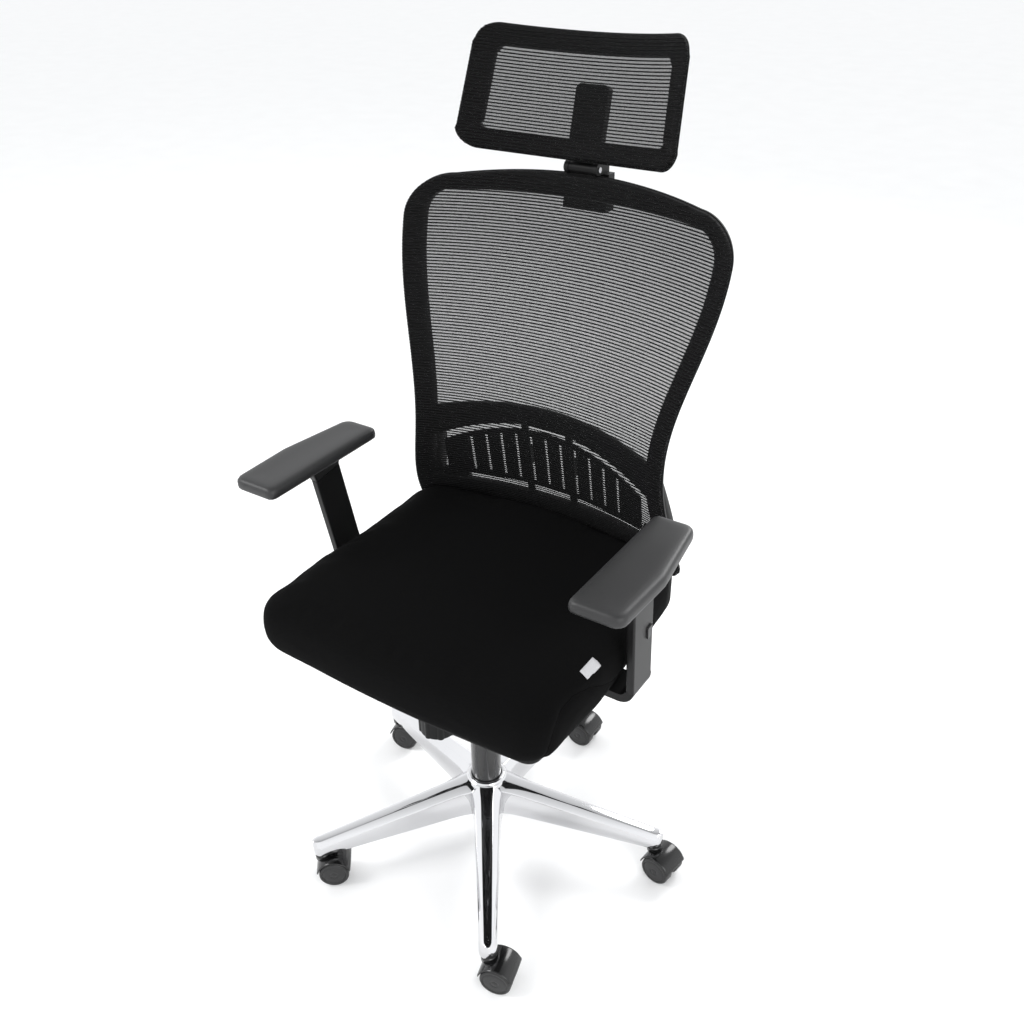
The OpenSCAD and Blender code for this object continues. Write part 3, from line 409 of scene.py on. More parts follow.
def back_outline(side, top, low, foot, rx, rz, k=3):
    """The closed outline of the back in (x, z), drawn in by side, top and low."""
    shoulder = BACK_TOP - 0.073
    foot_x = float(back_half(BACK_LOW + 0.014)) - side - foot
    pts = [(foot_x * i / (5 * k), BACK_LOW + low) for i in range(5 * k)]
    pts += [(foot_x + foot * math.cos(a), BACK_LOW + low + foot + foot * math.sin(a))
            for a in np.radians(np.linspace(-90, -10, 4 * k))]
    for z in np.linspace(BACK_LOW + low + foot, shoulder, 14 * k):
        pts.append((float(back_half(z)) - side, z))
    cx = 0.268 - side - rx
    pts += [(cx + rx * math.cos(a), shoulder + rz * math.sin(a))
            for a in np.radians(np.linspace(4, 90, 6 * k))]
    rise = BACK_TOP - top - shoulder - rz
    pts += [(cx * (1 - i / (4 * k)), shoulder + rz + rise * (1 - (1 - i / (4 * k)) ** 2))
            for i in range(1, 4 * k + 1)]
    pts = np.array(pts)
    return np.vstack([pts, (pts[1:-1] * [-1, 1])[::-1]])


outer = back_outline(0, 0, 0, 0.014, 0.068, 0.059)
inner = back_outline(RAIL_SIDE, RAIL_TOP, RAIL_LOW, 0.010, 0.040, 0.038)
print("outline points", len(outer))

# %% [markdown]
# ## The back's rim
# The real rim is one moulded hoop with soft edges, wider at the foot than at the sides.  A
# section between the outer and inner outlines follows the loop, and its corners are rounded
# with a few points each.  The bow above the lumbar opening is a second loft, with its ends
# buried in the side rails.


# %% Rim, bow and guides
def rim_section(thick, steps=4):
    """Rounded section: (share of the rail's width, distance along its thickness)."""
    out = []
    for share, depth, a0 in ((0.84, 1, 0), (0.16, 1, 90), (0.16, -1, 180), (0.84, -1, 270)):
        for a in np.radians(a0 + np.linspace(0, 90, steps)):
            out.append((share + 0.16 * math.cos(a),
                        depth * (thick / 2 - 0.0055) + 0.0055 * math.sin(a)))
    return out


def hoop(outer, inner, thick, surface_point):
    rings = []
    for o, i in zip(outer, inner):
        rings.append([surface_point(*(o + (i - o) * s), t) for s, t in rim_section(thick)])
    return loft(rings, loop=True)


def bow_edges(x):
    """Heights of the upper and lower edge of the bow."""
    return 0.742 - 0.021 * (x / 0.185) ** 2, 0.712 - 0.039 * (x / 0.177) ** 2


bow_rings = []
for x in np.linspace(-0.203, 0.203, 61):
    high, low = bow_edges(x)
    bow_rings.append([on_back(x, high + (low - high) * s, t) for s, t in rim_section(0.016)])
parts = [hoop(outer, inner, RIM_THICK, on_back), loft(bow_rings)]
lean = Matrix.Rotation(math.radians(9.1), 4, "X")
guide_at = Matrix.Translation((0, float(back_y(0.652)) - 0.001, 0.652)) @ lean
for s in (-1, 1):
    bar = []
    for z in (-0.092, -0.0905, 0.0845, 0.086):
        w = 0.0052 if abs(z) > 0.0910 or z == 0.086 else 0.006
        bar.append([(s * 0.040 + x, 0.0051 + y, z) for x, y in rounded_section(w, 0.0025, 0.001)])
    v, f = loft(bar)
    parts.append((place(v, guide_at), f))
CHEEK_OUT, CHEEK_DEEP = 0.0165, 0.030
for s in (-1, 1):  # the rails are deeper beside the lumbar opening
    rings = []
    for z in np.linspace(0.560, 0.690, 14):
        edge = float(back_half(z)) - RAIL_SIDE
        deep = CHEEK_DEEP * math.sin(math.pi * (z - 0.545) / 0.160) ** 0.5
        ring = [on_back(s * x, z, t) for x, t in (
            (edge, 0.004), (edge + 0.001, 0.006 + deep),
            (edge + 0.003, 0.008 + deep), (edge + CHEEK_OUT - 0.003, 0.008 + deep),
            (edge + CHEEK_OUT, 0.006 + deep), (edge + CHEEK_OUT, 0.004))]
        rings.append(ring[::-s])
    parts.append(loft(rings))
rim = piece("back_rim", *join(parts))
dress(rim, MOULDED)
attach(rim, "seat")
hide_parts("back_frame")
print("rim faces", len(rim.data.polygons))

# %% [markdown]
# ## The net and its ribs
# The cloth is knitted: thin ribs run from side to side, and a fine open net joins them.  The
# net is a sheet that turns round the rim's outer edge, where it is pressed into a groove.
# The ribs are real strands.  Python only says where each strand runs, and Geometry Nodes
# give every line its round section, so width and shape stay adjustable in one place.

# %% Strands by Geometry Nodes
strands = bpy.data.node_groups.new("Strands", "GeometryNodeTree")
face = strands.interface
face.new_socket("Lines", in_out="INPUT", socket_type="NodeSocketGeometry")
for label, value, kind in (("Half width", 0.0009, "NodeSocketFloat"),
                           ("Sides", 4, "NodeSocketInt")):
    face.new_socket(label, in_out="INPUT", socket_type=kind).default_value = value
face.new_socket("Finish", in_out="INPUT", socket_type="NodeSocketMaterial")
face.new_socket("Strands", in_out="OUTPUT", socket_type="NodeSocketGeometry")
s_in, s_out = strands.nodes.new("NodeGroupInput"), strands.nodes.new("NodeGroupOutput")
to_curve = strands.nodes.new("GeometryNodeMeshToCurve")
profile = strands.nodes.new("GeometryNodeCurvePrimitiveCircle")
sweep = strands.nodes.new("GeometryNodeCurveToMesh")
sweep.inputs["Fill Caps"].default_value = True
soft = strands.nodes.new("GeometryNodeSetShadeSmooth")
real = strands.nodes.new("GeometryNodeRealizeInstances")
finish_node = strands.nodes.new("GeometryNodeSetMaterial")
link = strands.links.new
link(s_in.outputs["Lines"], to_curve.inputs["Mesh"])
link(s_in.outputs["Half width"], profile.inputs["Radius"])
link(s_in.outputs["Sides"], profile.inputs["Resolution"])
link(to_curve.outputs["Curve"], sweep.inputs["Curve"])
link(profile.outputs["Curve"], sweep.inputs["Profile Curve"])
link(sweep.outputs["Mesh"], soft.inputs["Geometry"])
link(soft.outputs["Geometry"], real.inputs["Geometry"])
link(real.outputs["Geometry"], finish_node.inputs["Geometry"])
link(s_in.outputs["Finish"], finish_node.inputs["Material"])
link(finish_node.outputs["Geometry"], s_out.inputs["Strands"])


def strand_piece(name, lines, half_width, sides, mat, closed=False):
    """A plain mesh of round strands along the given lines of points."""
    verts, edges = [], []
    for line in lines:
        base = len(verts)
        verts += [tuple(p) for p in line]
        edges += [(base + i, base + i + 1) for i in range(len(line) - 1)]
        if closed:
            edges.append((base + len(line) - 1, base))
    mesh = bpy.data.meshes.new(name)
    mesh.from_pydata(verts, edges, [])
    obj = bpy.data.objects.new(name, mesh)
    bpy.context.scene.collection.objects.link(obj)
    mod = obj.modifiers.new("Strands", "NODES")
    mod.node_group = strands
    inputs = {i.name: i.identifier for i in face.items_tree if i.in_out == "INPUT"}
    mod[inputs["Half width"]], mod[inputs["Sides"]] = half_width, sides
    mod[inputs["Finish"]] = mat
    return settle(obj)


print("tree", strands.name)


# %% Net of the back
NET_AHEAD = 0.0009   # how far the net runs in front of the rim
RIB_PITCH = 0.0045
WELT_SHARE, WELT_BACK, WELT_HALF = -0.01, 0.0012, 0.0011


def shrink(outline, middle, k):
    return middle + (outline - middle) * k


def net_sheet(name, outer, inner, middle, thick, point, rows=26):
    """The net: a disc of rings on the surface that turns round the rim at its edge."""
    front = -thick / 2 - NET_AHEAD
    edge = outer + (inner - outer) * 0.16
    rings = [[point(*p, front) for p in shrink(edge, middle, k)]
             for k in np.linspace(1 / rows, 1, rows)]
    for share, off in ((0.10, front + 0.0004), (0.04, front + 0.0018), (0.0, front + 0.0042),
                       (-0.012, front + 0.0075), (-0.012, front + 0.0115)):
        rings.append([point(*(o + (i - o) * share), off) for o, i in zip(outer, inner)])
    v, f = loft(rings, caps=False)
    verts = [tuple(p) for p in v] + [tuple(point(*middle, front))]
    n = len(outer)
    faces = list(f) + [(k, (k + 1) % n, len(verts) - 1) for k in range(n)]
    obj = piece(name, verts, faces)
    solid = obj.modifiers.new("Cloth thickness", "SOLIDIFY")
    solid.thickness, solid.offset = 0.0005, 0
    return settle(dress(obj, NET))


net = net_sheet("back_net", outer, inner, np.array([0, 0.800]), RIM_THICK, on_back)
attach(net, "seat")
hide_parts("back_mesh")
print("net faces", len(net.data.polygons))


# %% Ribs of the back
def reach(outline, z):
    """How far the outline reaches to the side at a height."""
    best = 0.0
    for a, b in zip(outline, np.roll(outline, -1, axis=0)):
        if (a[1] - z) * (b[1] - z) <= 0 and a[1] != b[1]:
            best = max(best, abs(a[0] + (b[0] - a[0]) * (z - a[1]) / (b[1] - a[1])))
    return best


def rib_lines(outline, z0, z1, pitch, front, point, steps=30):
    lines = []
    for z in np.arange(z0, z1, pitch):
        end = reach(outline, z) - 0.0002
        if end < 0.02:
            continue
        flat = [(x, front - 0.0004) for x in np.linspace(-end + 0.005, end - 0.005, steps)]
        turn = [(end - 0.0014, front + 0.0012), (end, front + 0.0052), (end, front + 0.0095)]
        path = [(-x, o) for x, o in turn[::-1]] + flat + turn
        lines.append([point(x, z, o) for x, o in path])
    return lines


def welt_line(outer, inner, point):
    """The cord round the outer edge, where net and rim meet."""
    return [point(*(o + (i - o) * WELT_SHARE), WELT_BACK) for o, i in zip(outer, inner)]


lines = rib_lines(outer, BACK_LOW + 0.004, BACK_TOP - 0.003, RIB_PITCH,
                  -RIM_THICK / 2 - NET_AHEAD, on_back)
ribs = strand_piece("back_ribs", lines, 0.00115, 4, RIB_CLOTH)
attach(ribs, "seat")
welt = strand_piece("back_welt", [welt_line(outer, inner, on_back)], WELT_HALF, 6, RIB_CLOTH,
                    closed=True)
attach(welt, "seat")

# %% [markdown]
# ## The headrest
# The headrest repeats the back in small: a moulded hoop, a stretched net and ribs.  It
# leans on its own hinge, so its surface is written upright first and then turned by the
# lean, exactly as the stem that carries it.

# %% Headrest rim, net and ribs
HEAD_HALF, HEAD_TAPER, HEAD_H, HEAD_THICK, HEAD_RAIL = 0.175, 0.012, 0.168, 0.016, 0.028
head_turn = (Matrix.Translation((0, 0.289856, 1.088))
             @ Matrix.Rotation(math.radians(-15.4), 4, "X"))


def on_head(x, z, off):
    x, z = np.broadcast_arrays(np.asarray(x, float), np.asarray(z, float))
    flat = np.stack([x, -0.0134 - sag(x, 0.280) + off, z + 0.009], -1)
    return place(flat.reshape(-1, 3), head_turn).reshape(flat.shape)


def head_half(z):
    return HEAD_HALF - HEAD_TAPER * z / HEAD_H


def head_outline(ins, r, k=3):
    pts = [(i / (6 * k) * (HEAD_HALF - ins - r), ins) for i in range(6 * k)]
    pts += [(HEAD_HALF - ins - r + r * math.cos(a), ins + r + r * math.sin(a))
            for a in np.radians(np.linspace(-90, -12, 5 * k))]
    for z in np.linspace(ins + r, HEAD_H - ins - r, 6 * k):
        pts.append((head_half(z) - ins, z))
    cx = head_half(HEAD_H) - ins - r
    pts += [(cx + r * math.cos(a), HEAD_H - ins - r + r * math.sin(a))
            for a in np.radians(np.linspace(12, 90, 5 * k))]
    pts += [(cx * (1 - i / (5 * k)), HEAD_H - ins) for i in range(1, 5 * k + 1)]
    pts = np.array(pts)
    return np.vstack([pts, (pts[1:-1] * [-1, 1])[::-1]])


head_outer, head_inner = head_outline(0, 0.028), head_outline(HEAD_RAIL, 0.010)
head_rim = dress(piece("headrest_rim", *hoop(head_outer, head_inner, HEAD_THICK, on_head)), MOULDED)
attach(head_rim, "headrest")
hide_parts("headrest_frame")
head_net = net_sheet("headrest_net", head_outer, head_inner, np.array([0, 0.084]), HEAD_THICK,
                     on_head, rows=14)
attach(head_net, "headrest")
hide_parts("headrest_mesh")
lines = rib_lines(head_outer, 0.004, HEAD_H - 0.003, RIB_PITCH, -HEAD_THICK / 2 - NET_AHEAD,
                  on_head, 24)
head_ribs = strand_piece("headrest_ribs", lines, 0.00095, 4, RIB_CLOTH)
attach(head_ribs, "headrest")
head_welt = strand_piece("headrest_welt", [welt_line(head_outer, head_inner, on_head)],
                         WELT_HALF, 6, RIB_CLOTH, closed=True)
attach(head_welt, "headrest")

# %% [markdown]
# ## The seat cushion
# Foam pushes its cover outwards until the cloth is tight, so a cushion is fuller in the
# middle of each panel than at its seams.  A lofted blank, a little too small, is remeshed
# and blown up for a few frames as cloth, which rounds it the way foam does.  The seams are
# pressed in afterwards, because the remesh would wipe them away.


# %% Outline helpers
def hull(points):
    """Convex outline of points in a plane, anticlockwise."""
    pts = sorted(map(tuple, points))
    chains = []
    for seq in (pts, pts[::-1]):
        chain = []
        for p in seq:
            while len(chain) > 1 and ((chain[-1][0] - chain[-2][0]) * (p[1] - chain[-2][1])
                                      - (chain[-1][1] - chain[-2][1]) * (p[0] - chain[-2][0])) <= 0:
                chain.pop()
            chain.append(p)
        chains += chain[:-1]
    return np.array(chains)


def even(outline, count):
    """The same closed outline with evenly spaced points."""
    closed = np.vstack([outline, outline[:1]])
    run = np.concatenate([[0], np.cumsum(np.linalg.norm(np.diff(closed, axis=0), axis=1))])
    at = np.linspace(0, run[-1], count, endpoint=False)
    return np.stack([np.interp(at, run, closed[:, i]) for i in (0, 1)], 1)


def disc(x, y, r):
    a = np.linspace(0, 2 * math.pi, 64, endpoint=False)
    return np.stack([x + r * np.cos(a), y + r * np.sin(a)], 1)


def draw_in(outline, middle, inset):
    """The outline drawn in by about the same distance on every side."""
    half = np.ptp(outline, axis=0) / 2
    return middle + (outline - middle) * (1 - inset / half)


def stack(outline, middle, profile):
    """Rings of the outline at (inset, height) pairs, as one closed form."""
    rings = [[(x, y, z) for x, y in draw_in(outline, middle, inset)] for inset, z in profile]
    return loft(rings)


# %% Cushion blank
front_x, rear_x, SEAT_FRONT, SEAT_REAR = 0.205, 0.150, -0.236, 0.220
seat_pts = [(x, SEAT_FRONT + 0.008 * (x / front_x) ** 2) for x in np.linspace(-front_x, front_x, 25)]
seat_pts += [(x, 0.199 + 0.020 * (1 - (x / rear_x) ** 2)) for x in np.linspace(-rear_x, rear_x, 25)]
for s in (-1, 1):
    for x, y, r in ((front_x, -0.184, 0.044), (0.133, -0.0787, 0.120), (0.178, 0.139, 0.060)):
        seat_pts += list(disc(s * x, y, r))
seat_outline = even(hull(seat_pts), 200)
seat_low, seat_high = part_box("seat_cushion")
z0, z1 = seat_low.z + 0.0006, seat_high.z  # clears the pan it rests on
profile = [(0.060, z0), (0.030, z0), (0.016, z0 + 0.003), (0.009, z0 + 0.010), (0.004, z0 + 0.026),
           (0.003, z0 + 0.045), (0.004, z1 - 0.038), (0.006, z1 - 0.026), (0.0105, z1 - 0.017),
           (0.018, z1 - 0.0105), (0.030, z1 - 0.0065), (0.055, z1 - 0.004), (0.10, z1 - 0.0025),
           (0.16, z1 - 0.002)]
blank = stack(seat_outline, np.array([0, -0.0085]), profile)
cushion = piece("seat_padding", *blank)
print("blank", len(cushion.data.vertices), "points")


# %% Blow the cushion up as cloth
VOXEL, PRESSURE, SWELL = 0.0055, 4.0, 0.006
PROUD, REAR_RISE, RISE_FROM, RISE_OVER = 0.004, 0.016, -0.02, 0.22


def inflate(obj, voxel, pressure, cap, frames=20):
    """Remesh, simulate for a few frames and keep every point within cap of its start."""
    remesh = obj.modifiers.new("Even mesh", "REMESH")
    remesh.mode, remesh.voxel_size = "VOXEL", voxel
    settle(obj)
    start = np.array([v.co[:] for v in obj.data.vertices])
    cloth = obj.modifiers.new("Foam", "CLOTH")
    cloth.settings.use_pressure = True
    cloth.settings.uniform_pressure_force = pressure
    cloth.settings.effector_weights.gravity = 0
    cloth.settings.quality = 5
    scene = bpy.context.scene
    for number in range(1, frames + 1):
        scene.frame_set(number)
    view = bpy.context.evaluated_depsgraph_get()
    mesh = bpy.data.meshes.new_from_object(obj.evaluated_get(view))
    obj.modifiers.clear()
    obj.data = mesh
    scene.frame_set(1)
    now = np.array([v.co[:] for v in mesh.vertices])
    move = now - start
    size = np.linalg.norm(move, axis=1, keepdims=True)
    now = start + move * np.minimum(1, cap / np.maximum(size, 1e-9))
    mesh.vertices.foreach_set("co", now.ravel())
    mesh.polygons.foreach_set("use_smooth", [True] * len(mesh.polygons))
    mesh.update()
    return now


cushion_points = inflate(cushion, VOXEL, PRESSURE, SWELL)

# The foam fills the whole outline again and rises towards the back
wide = seat_outline[:, 0].max() + PROUD
want_low = np.array([-wide, SEAT_FRONT - PROUD, z0])
want_high = np.array([wide, SEAT_REAR, z1 + PROUD])
was_low, was_high = cushion_points.min(0), cushion_points.max(0)
stretch = (want_high - want_low) / (was_high - was_low)
cushion_points = want_low + (cushion_points - was_low) * stretch
share = np.clip((cushion_points[:, 1] - RISE_FROM) / RISE_OVER, 0, 1)
rise = (cushion_points[:, 2] - z0) / (z1 - z0)
cushion_points[:, 2] += REAR_RISE * share * share * (3 - 2 * share) * rise
cushion.data.vertices.foreach_set("co", cushion_points.ravel())
cushion.data.update()
print("cushion box", cushion_points.min(0).round(4), cushion_points.max(0).round(4))


# %% Seams of the cushion
SEAM = [(0.236, -0.209, 0.458), (0.240, -0.205, 0.470), (0.243, -0.200, 0.500),
        (0.245, -0.190, 0.520), (0.248, -0.165, 0.532), (0.250, -0.138, 0.533),
        (0.252, -0.100, 0.520), (0.252, -0.070, 0.502), (0.252, -0.034, 0.482),
        (0.252, 0.010, 0.475), (0.246, 0.080, 0.474), (0.238, 0.145, 0.474),
        (0.218, 0.182, 0.474), (0.178, 0.199, 0.474), (0.100, 0.206, 0.474), (0.0, 0.211, 0.474)]


def seam_guide(s):
    """Up the front corner, over the side and back round the rear, near the surface."""
    pts = np.array(SEAM) * [s, 1, 1]
    at = np.linspace(0, len(pts) - 1, 110)
    line = np.stack([np.interp(at, np.arange(len(pts)), pts[:, i]) for i in range(3)], 1)
    for _ in range(6):
        line[1:-1] = (line[:-2] + 2 * line[1:-1] + line[2:]) / 4
    return line


def cover_of(mesh):
    """A tree that finds the nearest point on a mesh."""
    return BVHTree.FromPolygons([v.co for v in mesh.vertices],
                                [p.vertices[:] for p in mesh.polygons])


def press_seam(obj, paths, depth, width):
    """Pushes the surface in along the paths; returns the paths on the pressed surface."""
    mesh = obj.data
    tree = cover_of(mesh)
    on = [np.array([tree.find_nearest(Vector(p))[0][:] for p in path]) for path in paths]
    dense = []
    for p in on:
        at = np.linspace(0, len(p) - 1, len(p) * 4)
        dense.append(np.stack([np.interp(at, np.arange(len(p)), p[:, i]) for i in range(3)], 1))
    dense = np.vstack(dense)
    co = np.array([v.co[:] for v in mesh.vertices])
    normals = np.array([v.normal[:] for v in mesh.vertices])
    for start in range(0, len(co), 2000):
        block = co[start:start + 2000]
        gap = np.sqrt(((block[:, None, :] - dense[None]) ** 2).sum(-1).min(1))
        push = depth * np.exp(-(gap / width) ** 2)
        co[start:start + 2000] -= normals[start:start + 2000] * push[:, None]
    mesh.vertices.foreach_set("co", co.ravel())
    mesh.update()
    tree = cover_of(mesh)
    return [np.array([tree.find_nearest(Vector(p))[0][:] for p in path]) for path in on]


seams = press_seam(cushion, [seam_guide(1), seam_guide(-1)], 0.0022, 0.0045)
subdivide(cushion)
dress(cushion, SEAT_CLOTH)
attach(cushion, "seat")
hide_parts("seat_cushion")
seam_cord = strand_piece("seat_seam", seams, 0.0008, 6, SEAT_CLOTH)
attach(seam_cord, "seat")
print("cushion faces", len(cushion.data.polygons))

# %% Blank tag on the side
cover = cover_of(cushion.data)
TAG_LIFT, TAG_T, TAG_ROWS, TAG_COLS = 0.0003, 0.0007, 9, 5
tag_pts = []
for lift in (TAG_LIFT, TAG_LIFT + TAG_T):
    for y in np.linspace(-0.105, -0.071, TAG_ROWS):
        for x, z in zip(np.linspace(0.2465, 0.236, TAG_COLS), np.linspace(0.533, 0.5435, TAG_COLS)):
            spot, normal, _, _ = cover.find_nearest(Vector((x, y, z)))
            tag_pts.append(spot + normal * lift)
top = TAG_ROWS * TAG_COLS
tag_faces = []
for r in range(TAG_ROWS - 1):
    for c in range(TAG_COLS - 1):
        a = r * TAG_COLS + c
        quad = (a, a + 1, a + TAG_COLS + 1, a + TAG_COLS)
        tag_faces += [quad, tuple(top + i for i in reversed(quad))]
edge = ([(0, c) for c in range(TAG_COLS)] + [(r, TAG_COLS - 1) for r in range(1, TAG_ROWS)]
        + [(TAG_ROWS - 1, c) for c in range(TAG_COLS - 2, -1, -1)]
        + [(r, 0) for r in range(TAG_ROWS - 2, 0, -1)])
edge = [r * TAG_COLS + c for r, c in edge]
for a, b in zip(edge, edge[1:] + edge[:1]):
    tag_faces.append((b, a, top + a, top + b))
tag = dress(piece("side_tag", np.array([p[:] for p in tag_pts]), tag_faces), TAG_CLOTH)
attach(tag, "seat")
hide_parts("seat_tag")
print("tag box", [round(v, 4) for v in np.ptp(np.array([p[:] for p in tag_pts]), axis=0)])

# %% [markdown]
# ## Arm pads
# Each pad is a soft moulded slab with a tight radius all round and an almost flat top.  Its
# plan is the outline round a few discs, and the edge is a stack of slightly smaller copies.

# %% Arm pads
pad_low, pad_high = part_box("arm_pad_left")
pad_pts = np.vstack([disc(x, y, r) for x, y, r in (
    (0.254, 0.069, 0.008), (0.255, -0.153, 0.009), (0.294, 0.061, 0.016), (0.310, -0.148, 0.014),
    (0.297, -0.054, 0.030))])
pad_plan = even(hull(pad_pts), 96)
pad_profile = [(0.014, 0), (0.0055, 0), (0.0025, 0.0006), (0.0006, 0.0025), (0, 0.006),
               (0, 0.0105), (0.0006, 0.0140), (0.0022, 0.0166), (0.0048, 0.0182),
               (0.009, 0.0189), (0.016, 0.0190), (0.026, 0.0187), (0.034, 0.0185)]
for s, side in ((1, "left"), (-1, "right")):
    profile = [(i, pad_low.z + h) for i, h in pad_profile]
    v, f = stack(pad_plan, np.array([0.2865, -0.042]), profile)
    pad = dress(piece(f"pad_{side}", v * [s, 1, 1], f), PAD_SKIN)
    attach(pad, f"arm_{side}")
    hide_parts(f"arm_pad_{side}")
print("pads at", round(pad_low.z, 4), round(pad_high.z, 4))

# %% [markdown]
# ## The star base
# The base is one polished casting.  Each leg is a loft of sections that get lower and
# narrower towards the castor, with a flat crest between two bevels, because those facets
# make the long streaks of light that read as chrome.  The hub is turned, and hides the
# inner ends of the legs.

# %% Star base
LEG_COUNT, BASE_R, BASE_TURN = 5, 0.292, math.radians(34.5 - 90)
HUB_R, NOSE, NOSE_STEPS = 0.036, 0.0135, np.radians((18, 36, 54, 70, 84))


def leg_section(half, low, high):
    """A leg's section, anticlockwise: flat crest, two bevels, drafted sides, rolled foot."""
    crest, bevel = half * 0.46, min(0.0085, (high - low) * 0.3)
    right = [(crest * 0.5, high), (crest, high - 0.0003), (crest + 0.0012, high - 0.0012),
             (half - 0.0018, high - bevel), (half - 0.0004, high - bevel - 0.0016),
             (half + 0.0008, (low + high) / 2), (half + 0.0014, low + 0.0030),
             (half + 0.0006, low + 0.0008), (half - 0.0010, low)]
    pts = [(0, high)] + right + [(0, low)] + [(-x, z) for x, z in right[::-1]]
    return pts[::-1]


def leg(angle):
    rings = []
    stations = list(np.linspace(0.029, BASE_R, 26))
    stations += [BASE_R + NOSE * math.sin(a) for a in NOSE_STEPS]
    for r in stations:
        t = min(1, (r - HUB_R) / (BASE_R - HUB_R))
        nose = max(0.0, (r - BASE_R) / (NOSE + 0.0001))
        flare = 0.004 * math.exp(-max(r - HUB_R, 0) / 0.012)
        half = (0.022 - 0.0085 * t + flare) * math.sqrt(1 - nose ** 2)
        high = 0.138 - 0.049 * t - 0.0015 * nose ** 2
        low = 0.078 - 0.018 * t + 0.0015 * nose ** 2
        rings.append([(r, x, z) for x, z in leg_section(half, low, high)])
    v, f = loft(rings)
    return place(v, Matrix.Rotation(angle, 4, "Z")), f


hub_profile = [(0.0254, 0.0712), (0.0330, 0.0700), (0.0352, 0.0708), (0.0360, 0.0735),
               (0.0360, 0.1330), (0.0356, 0.1358), (0.0338, 0.1386), (0.0316, 0.1400),
               (0.0312, 0.1414), (0.0304, 0.1428), (0.0290, 0.1432), (0.0262, 0.1432),
               (0.0254, 0.1424)]


def turned_ring(profile, sides=72):
    rings = []
    for a in np.linspace(0, 2 * math.pi, sides, endpoint=False):
        rings.append([(r * math.cos(a), r * math.sin(a), z) for r, z in profile])
    return loft(rings, loop=True)


parts = [leg(BASE_TURN + 2 * math.pi * i / LEG_COUNT) for i in range(LEG_COUNT)]
parts.append(turned_ring(hub_profile))
star = piece("star_casting", *join(parts))
bevel = star.modifiers.new("Edge", "BEVEL")
bevel.width, bevel.segments, bevel.limit_method = 0.0006, 2, "ANGLE"
bevel.angle_limit = math.radians(28)
settle(star)
dress(star, CHROME)
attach(star, "base")
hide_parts("star_base")
print("star faces", len(star.data.polygons))

# %% [markdown]
# ## Castors
# A twin-wheel castor has a web with a hood between and over two wheels.  The wheels are
# turned: a rolled tread, a lip, a groove and a domed cap.  All five are copies of one local
# shape, placed by where each stem stands and which way it trails.

# %% One castor in its own frame
WHEEL_R, TRAIL = 0.0250, 0.018
wheel_profile = [(0.0, 0.0054), (0.0180, 0.0054), (0.0225, 0.0058), (0.0242, 0.0070),
                 (0.0250, 0.0092), (0.0250, 0.0215), (0.0246, 0.0232), (0.0234, 0.0246), (0.0220, 0.0250),
                 (0.0208, 0.0250), (0.0203, 0.0244), (0.0199, 0.0238), (0.0194, 0.0238),
                 (0.0189, 0.0244), (0.0150, 0.0250), (0.0090, 0.0253), (0.0062, 0.0253),
                 (0.0056, 0.0248), (0.0050, 0.0248), (0.0044, 0.0254), (0.0, 0.0256)]
to_axle = Matrix(((1, 0, 0, 0), (0, 0, 1, 0), (0, -1, 0, WHEEL_R), (0, 0, 0, 1)))


def wheel_pair():
    v, f = lathe(wheel_profile, 56)
    v = place(v, to_axle)
    return join([(v, f), (v * [1, -1, 1], f)])


def hood():
    """The fender: a shell over both wheels, thicker at its ends."""
    rings = []
    for a in np.radians(np.linspace(18, 168, 34)):
        lip = 0.0004 * (1 if a < math.radians(24) or a > math.radians(162) else 0)
        ring = []
        for y, r in ((-0.0246, 0.0263), (-0.0250, 0.0272), (-0.0243, 0.0281), (-0.022, 0.0287),
                     (0.0, 0.0292), (0.022, 0.0287), (0.0243, 0.0281), (0.0250, 0.0272),
                     (0.0246, 0.0263), (0.0, 0.0259)):
            ring.append(((r + lip) * math.cos(a), y, WHEEL_R + (r + lip) * math.sin(a)))
        rings.append(ring)
    return loft(rings)


def web():
    """The plate between the wheels, from the axle up to the stem's boss."""
    plan = hull(np.vstack([disc(0, 0, 0.0215), disc(-0.006, 0.018, 0.010)]))
    rings = [[(x * k, y, WHEEL_R + z * k) for x, z in plan]
             for k, y in ((0.96, -0.0048), (1, -0.0042), (1, 0.0042), (0.96, 0.0048))]
    return loft(rings)


def boss():
    v, f = lathe([(0.0, 0.0460), (0.0115, 0.0460), (0.0118, 0.0545), (0.0112, 0.0562),
                  (0.0092, 0.0572), (0.0086, 0.0600), (0.0, 0.0600)], 40)
    return v - [TRAIL, 0, 0], f


def stem():
    v, f = lathe([(0.0, 0.0572), (0.0054, 0.0572), (0.0054, 0.0660), (0.0, 0.0660)], 32)
    return v - [TRAIL, 0, 0], f


fork_shape, roller_shape = join([hood(), web(), boss()]), wheel_pair()
stem_shape = stem()
print("castor points", len(fork_shape[0]), len(roller_shape[0]))

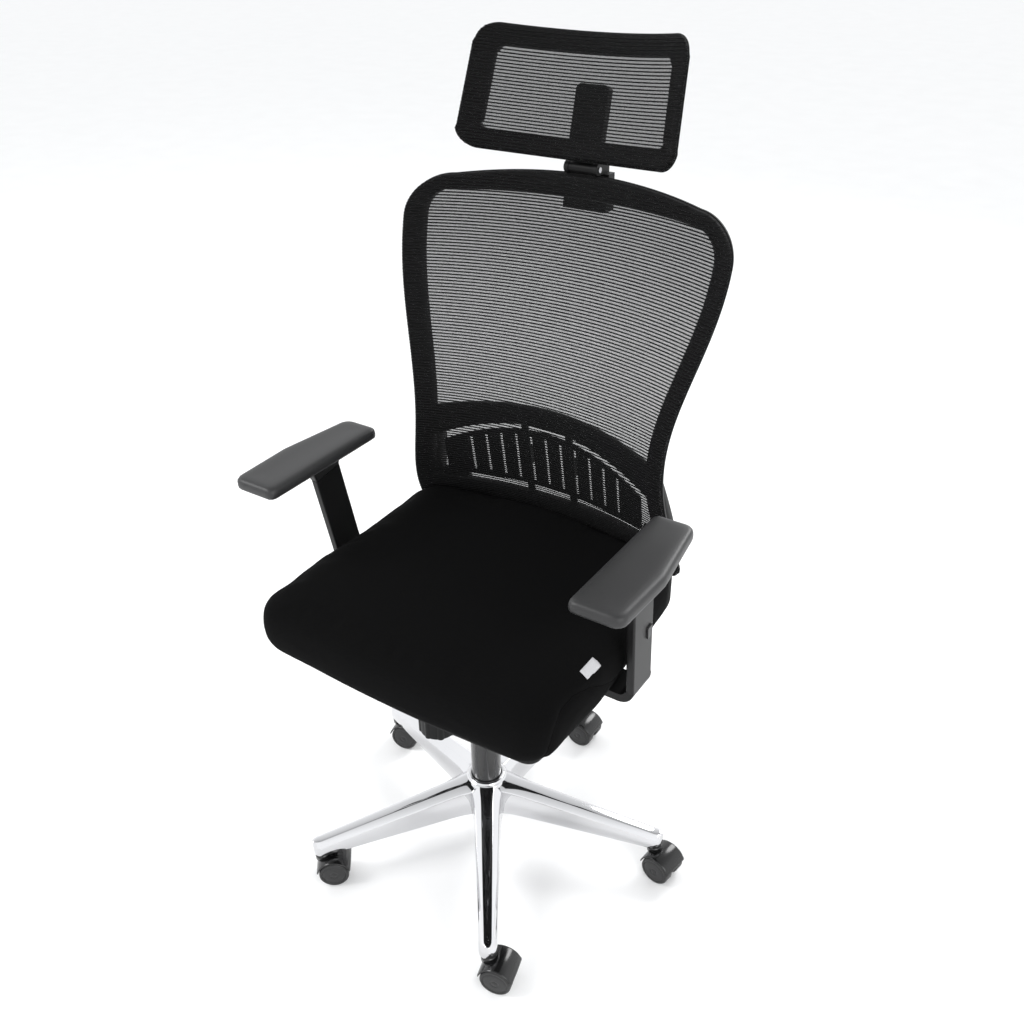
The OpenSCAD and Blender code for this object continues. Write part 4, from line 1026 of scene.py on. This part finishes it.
# %% Five castors in place
for joint in frame["joints"]:
    if not joint["name"].endswith("_roll"):
        continue
    number = joint["name"].split("_")[1]
    axis = joint["axis"]
    trail_angle = math.atan2(-axis[0], axis[1])
    at = (Matrix.Translation((joint["pos_m"][0], joint["pos_m"][1], 0))
          @ Matrix.Rotation(trail_angle, 4, "Z"))
    for label, shape, body, mat, slot, node in (
            ("fork", fork_shape, "fork", GLOSS, "castor_plastic", f"castor_{number}_housing"),
            ("rollers", roller_shape, "roller", TREAD, "castor_tread", f"castor_{number}_wheels")):
        obj = piece(f"castor_{number}_{label}", place(shape[0], at), shape[1])
        dress(obj, mat)
        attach(obj, f"castor_{number}_{body}")
        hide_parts(node)
    pin = dress(piece(f"castor_{number}_stem", place(stem_shape[0], at), stem_shape[1]), GROUND)
    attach(pin, f"castor_{number}_fork")
print("castors", 5)

# %% [markdown]
# ## The mechanical parts that stay
# Their shape is already right, so they only need finishes.  A table names the finish of
# each family of parts, and everything left over is moulded plastic.

# %% Finishes of the carried parts
families = {
    "castor_sockets": GROUND, "column_tube": PAINT, "column_bush": MOULDED, "thrust_bearing": GROUND,
    "piston_rod": GROUND, "piston_head": STEEL, "rod_clip": STEEL, "gas_cylinder": CHROME,
    "cylinder_gland": STEEL, "release_pin": STEEL, "tilt_housing": PAINT, "tilt_axle": STEEL,
    "tension_spring": SPRING, "height_lever": STEEL, "lock_lever": STEEL, "tilt_plate": PAINT,
    "tension_bolt": STEEL, "seat_bolts": STEEL, "arm_sleeve_left": SATIN, "arm_sleeve_right": SATIN,
    "arm_bracket_left": SATIN, "arm_bracket_right": SATIN, "arm_post_left": SATIN,
    "arm_post_right": SATIN, "arm_button_left": BUTTON, "arm_button_right": BUTTON,
    "lumbar_plate": LUMBAR, "headrest_stem": LUMBAR, "headrest_hinge_pin": GROUND,
    "seat_tag": TAG_CLOTH,
}
for name, obj in nodes.items():
    dress(obj, families.get(name, MOULDED))
print("carried parts", sum(not o.hide_render for o in nodes.values()))
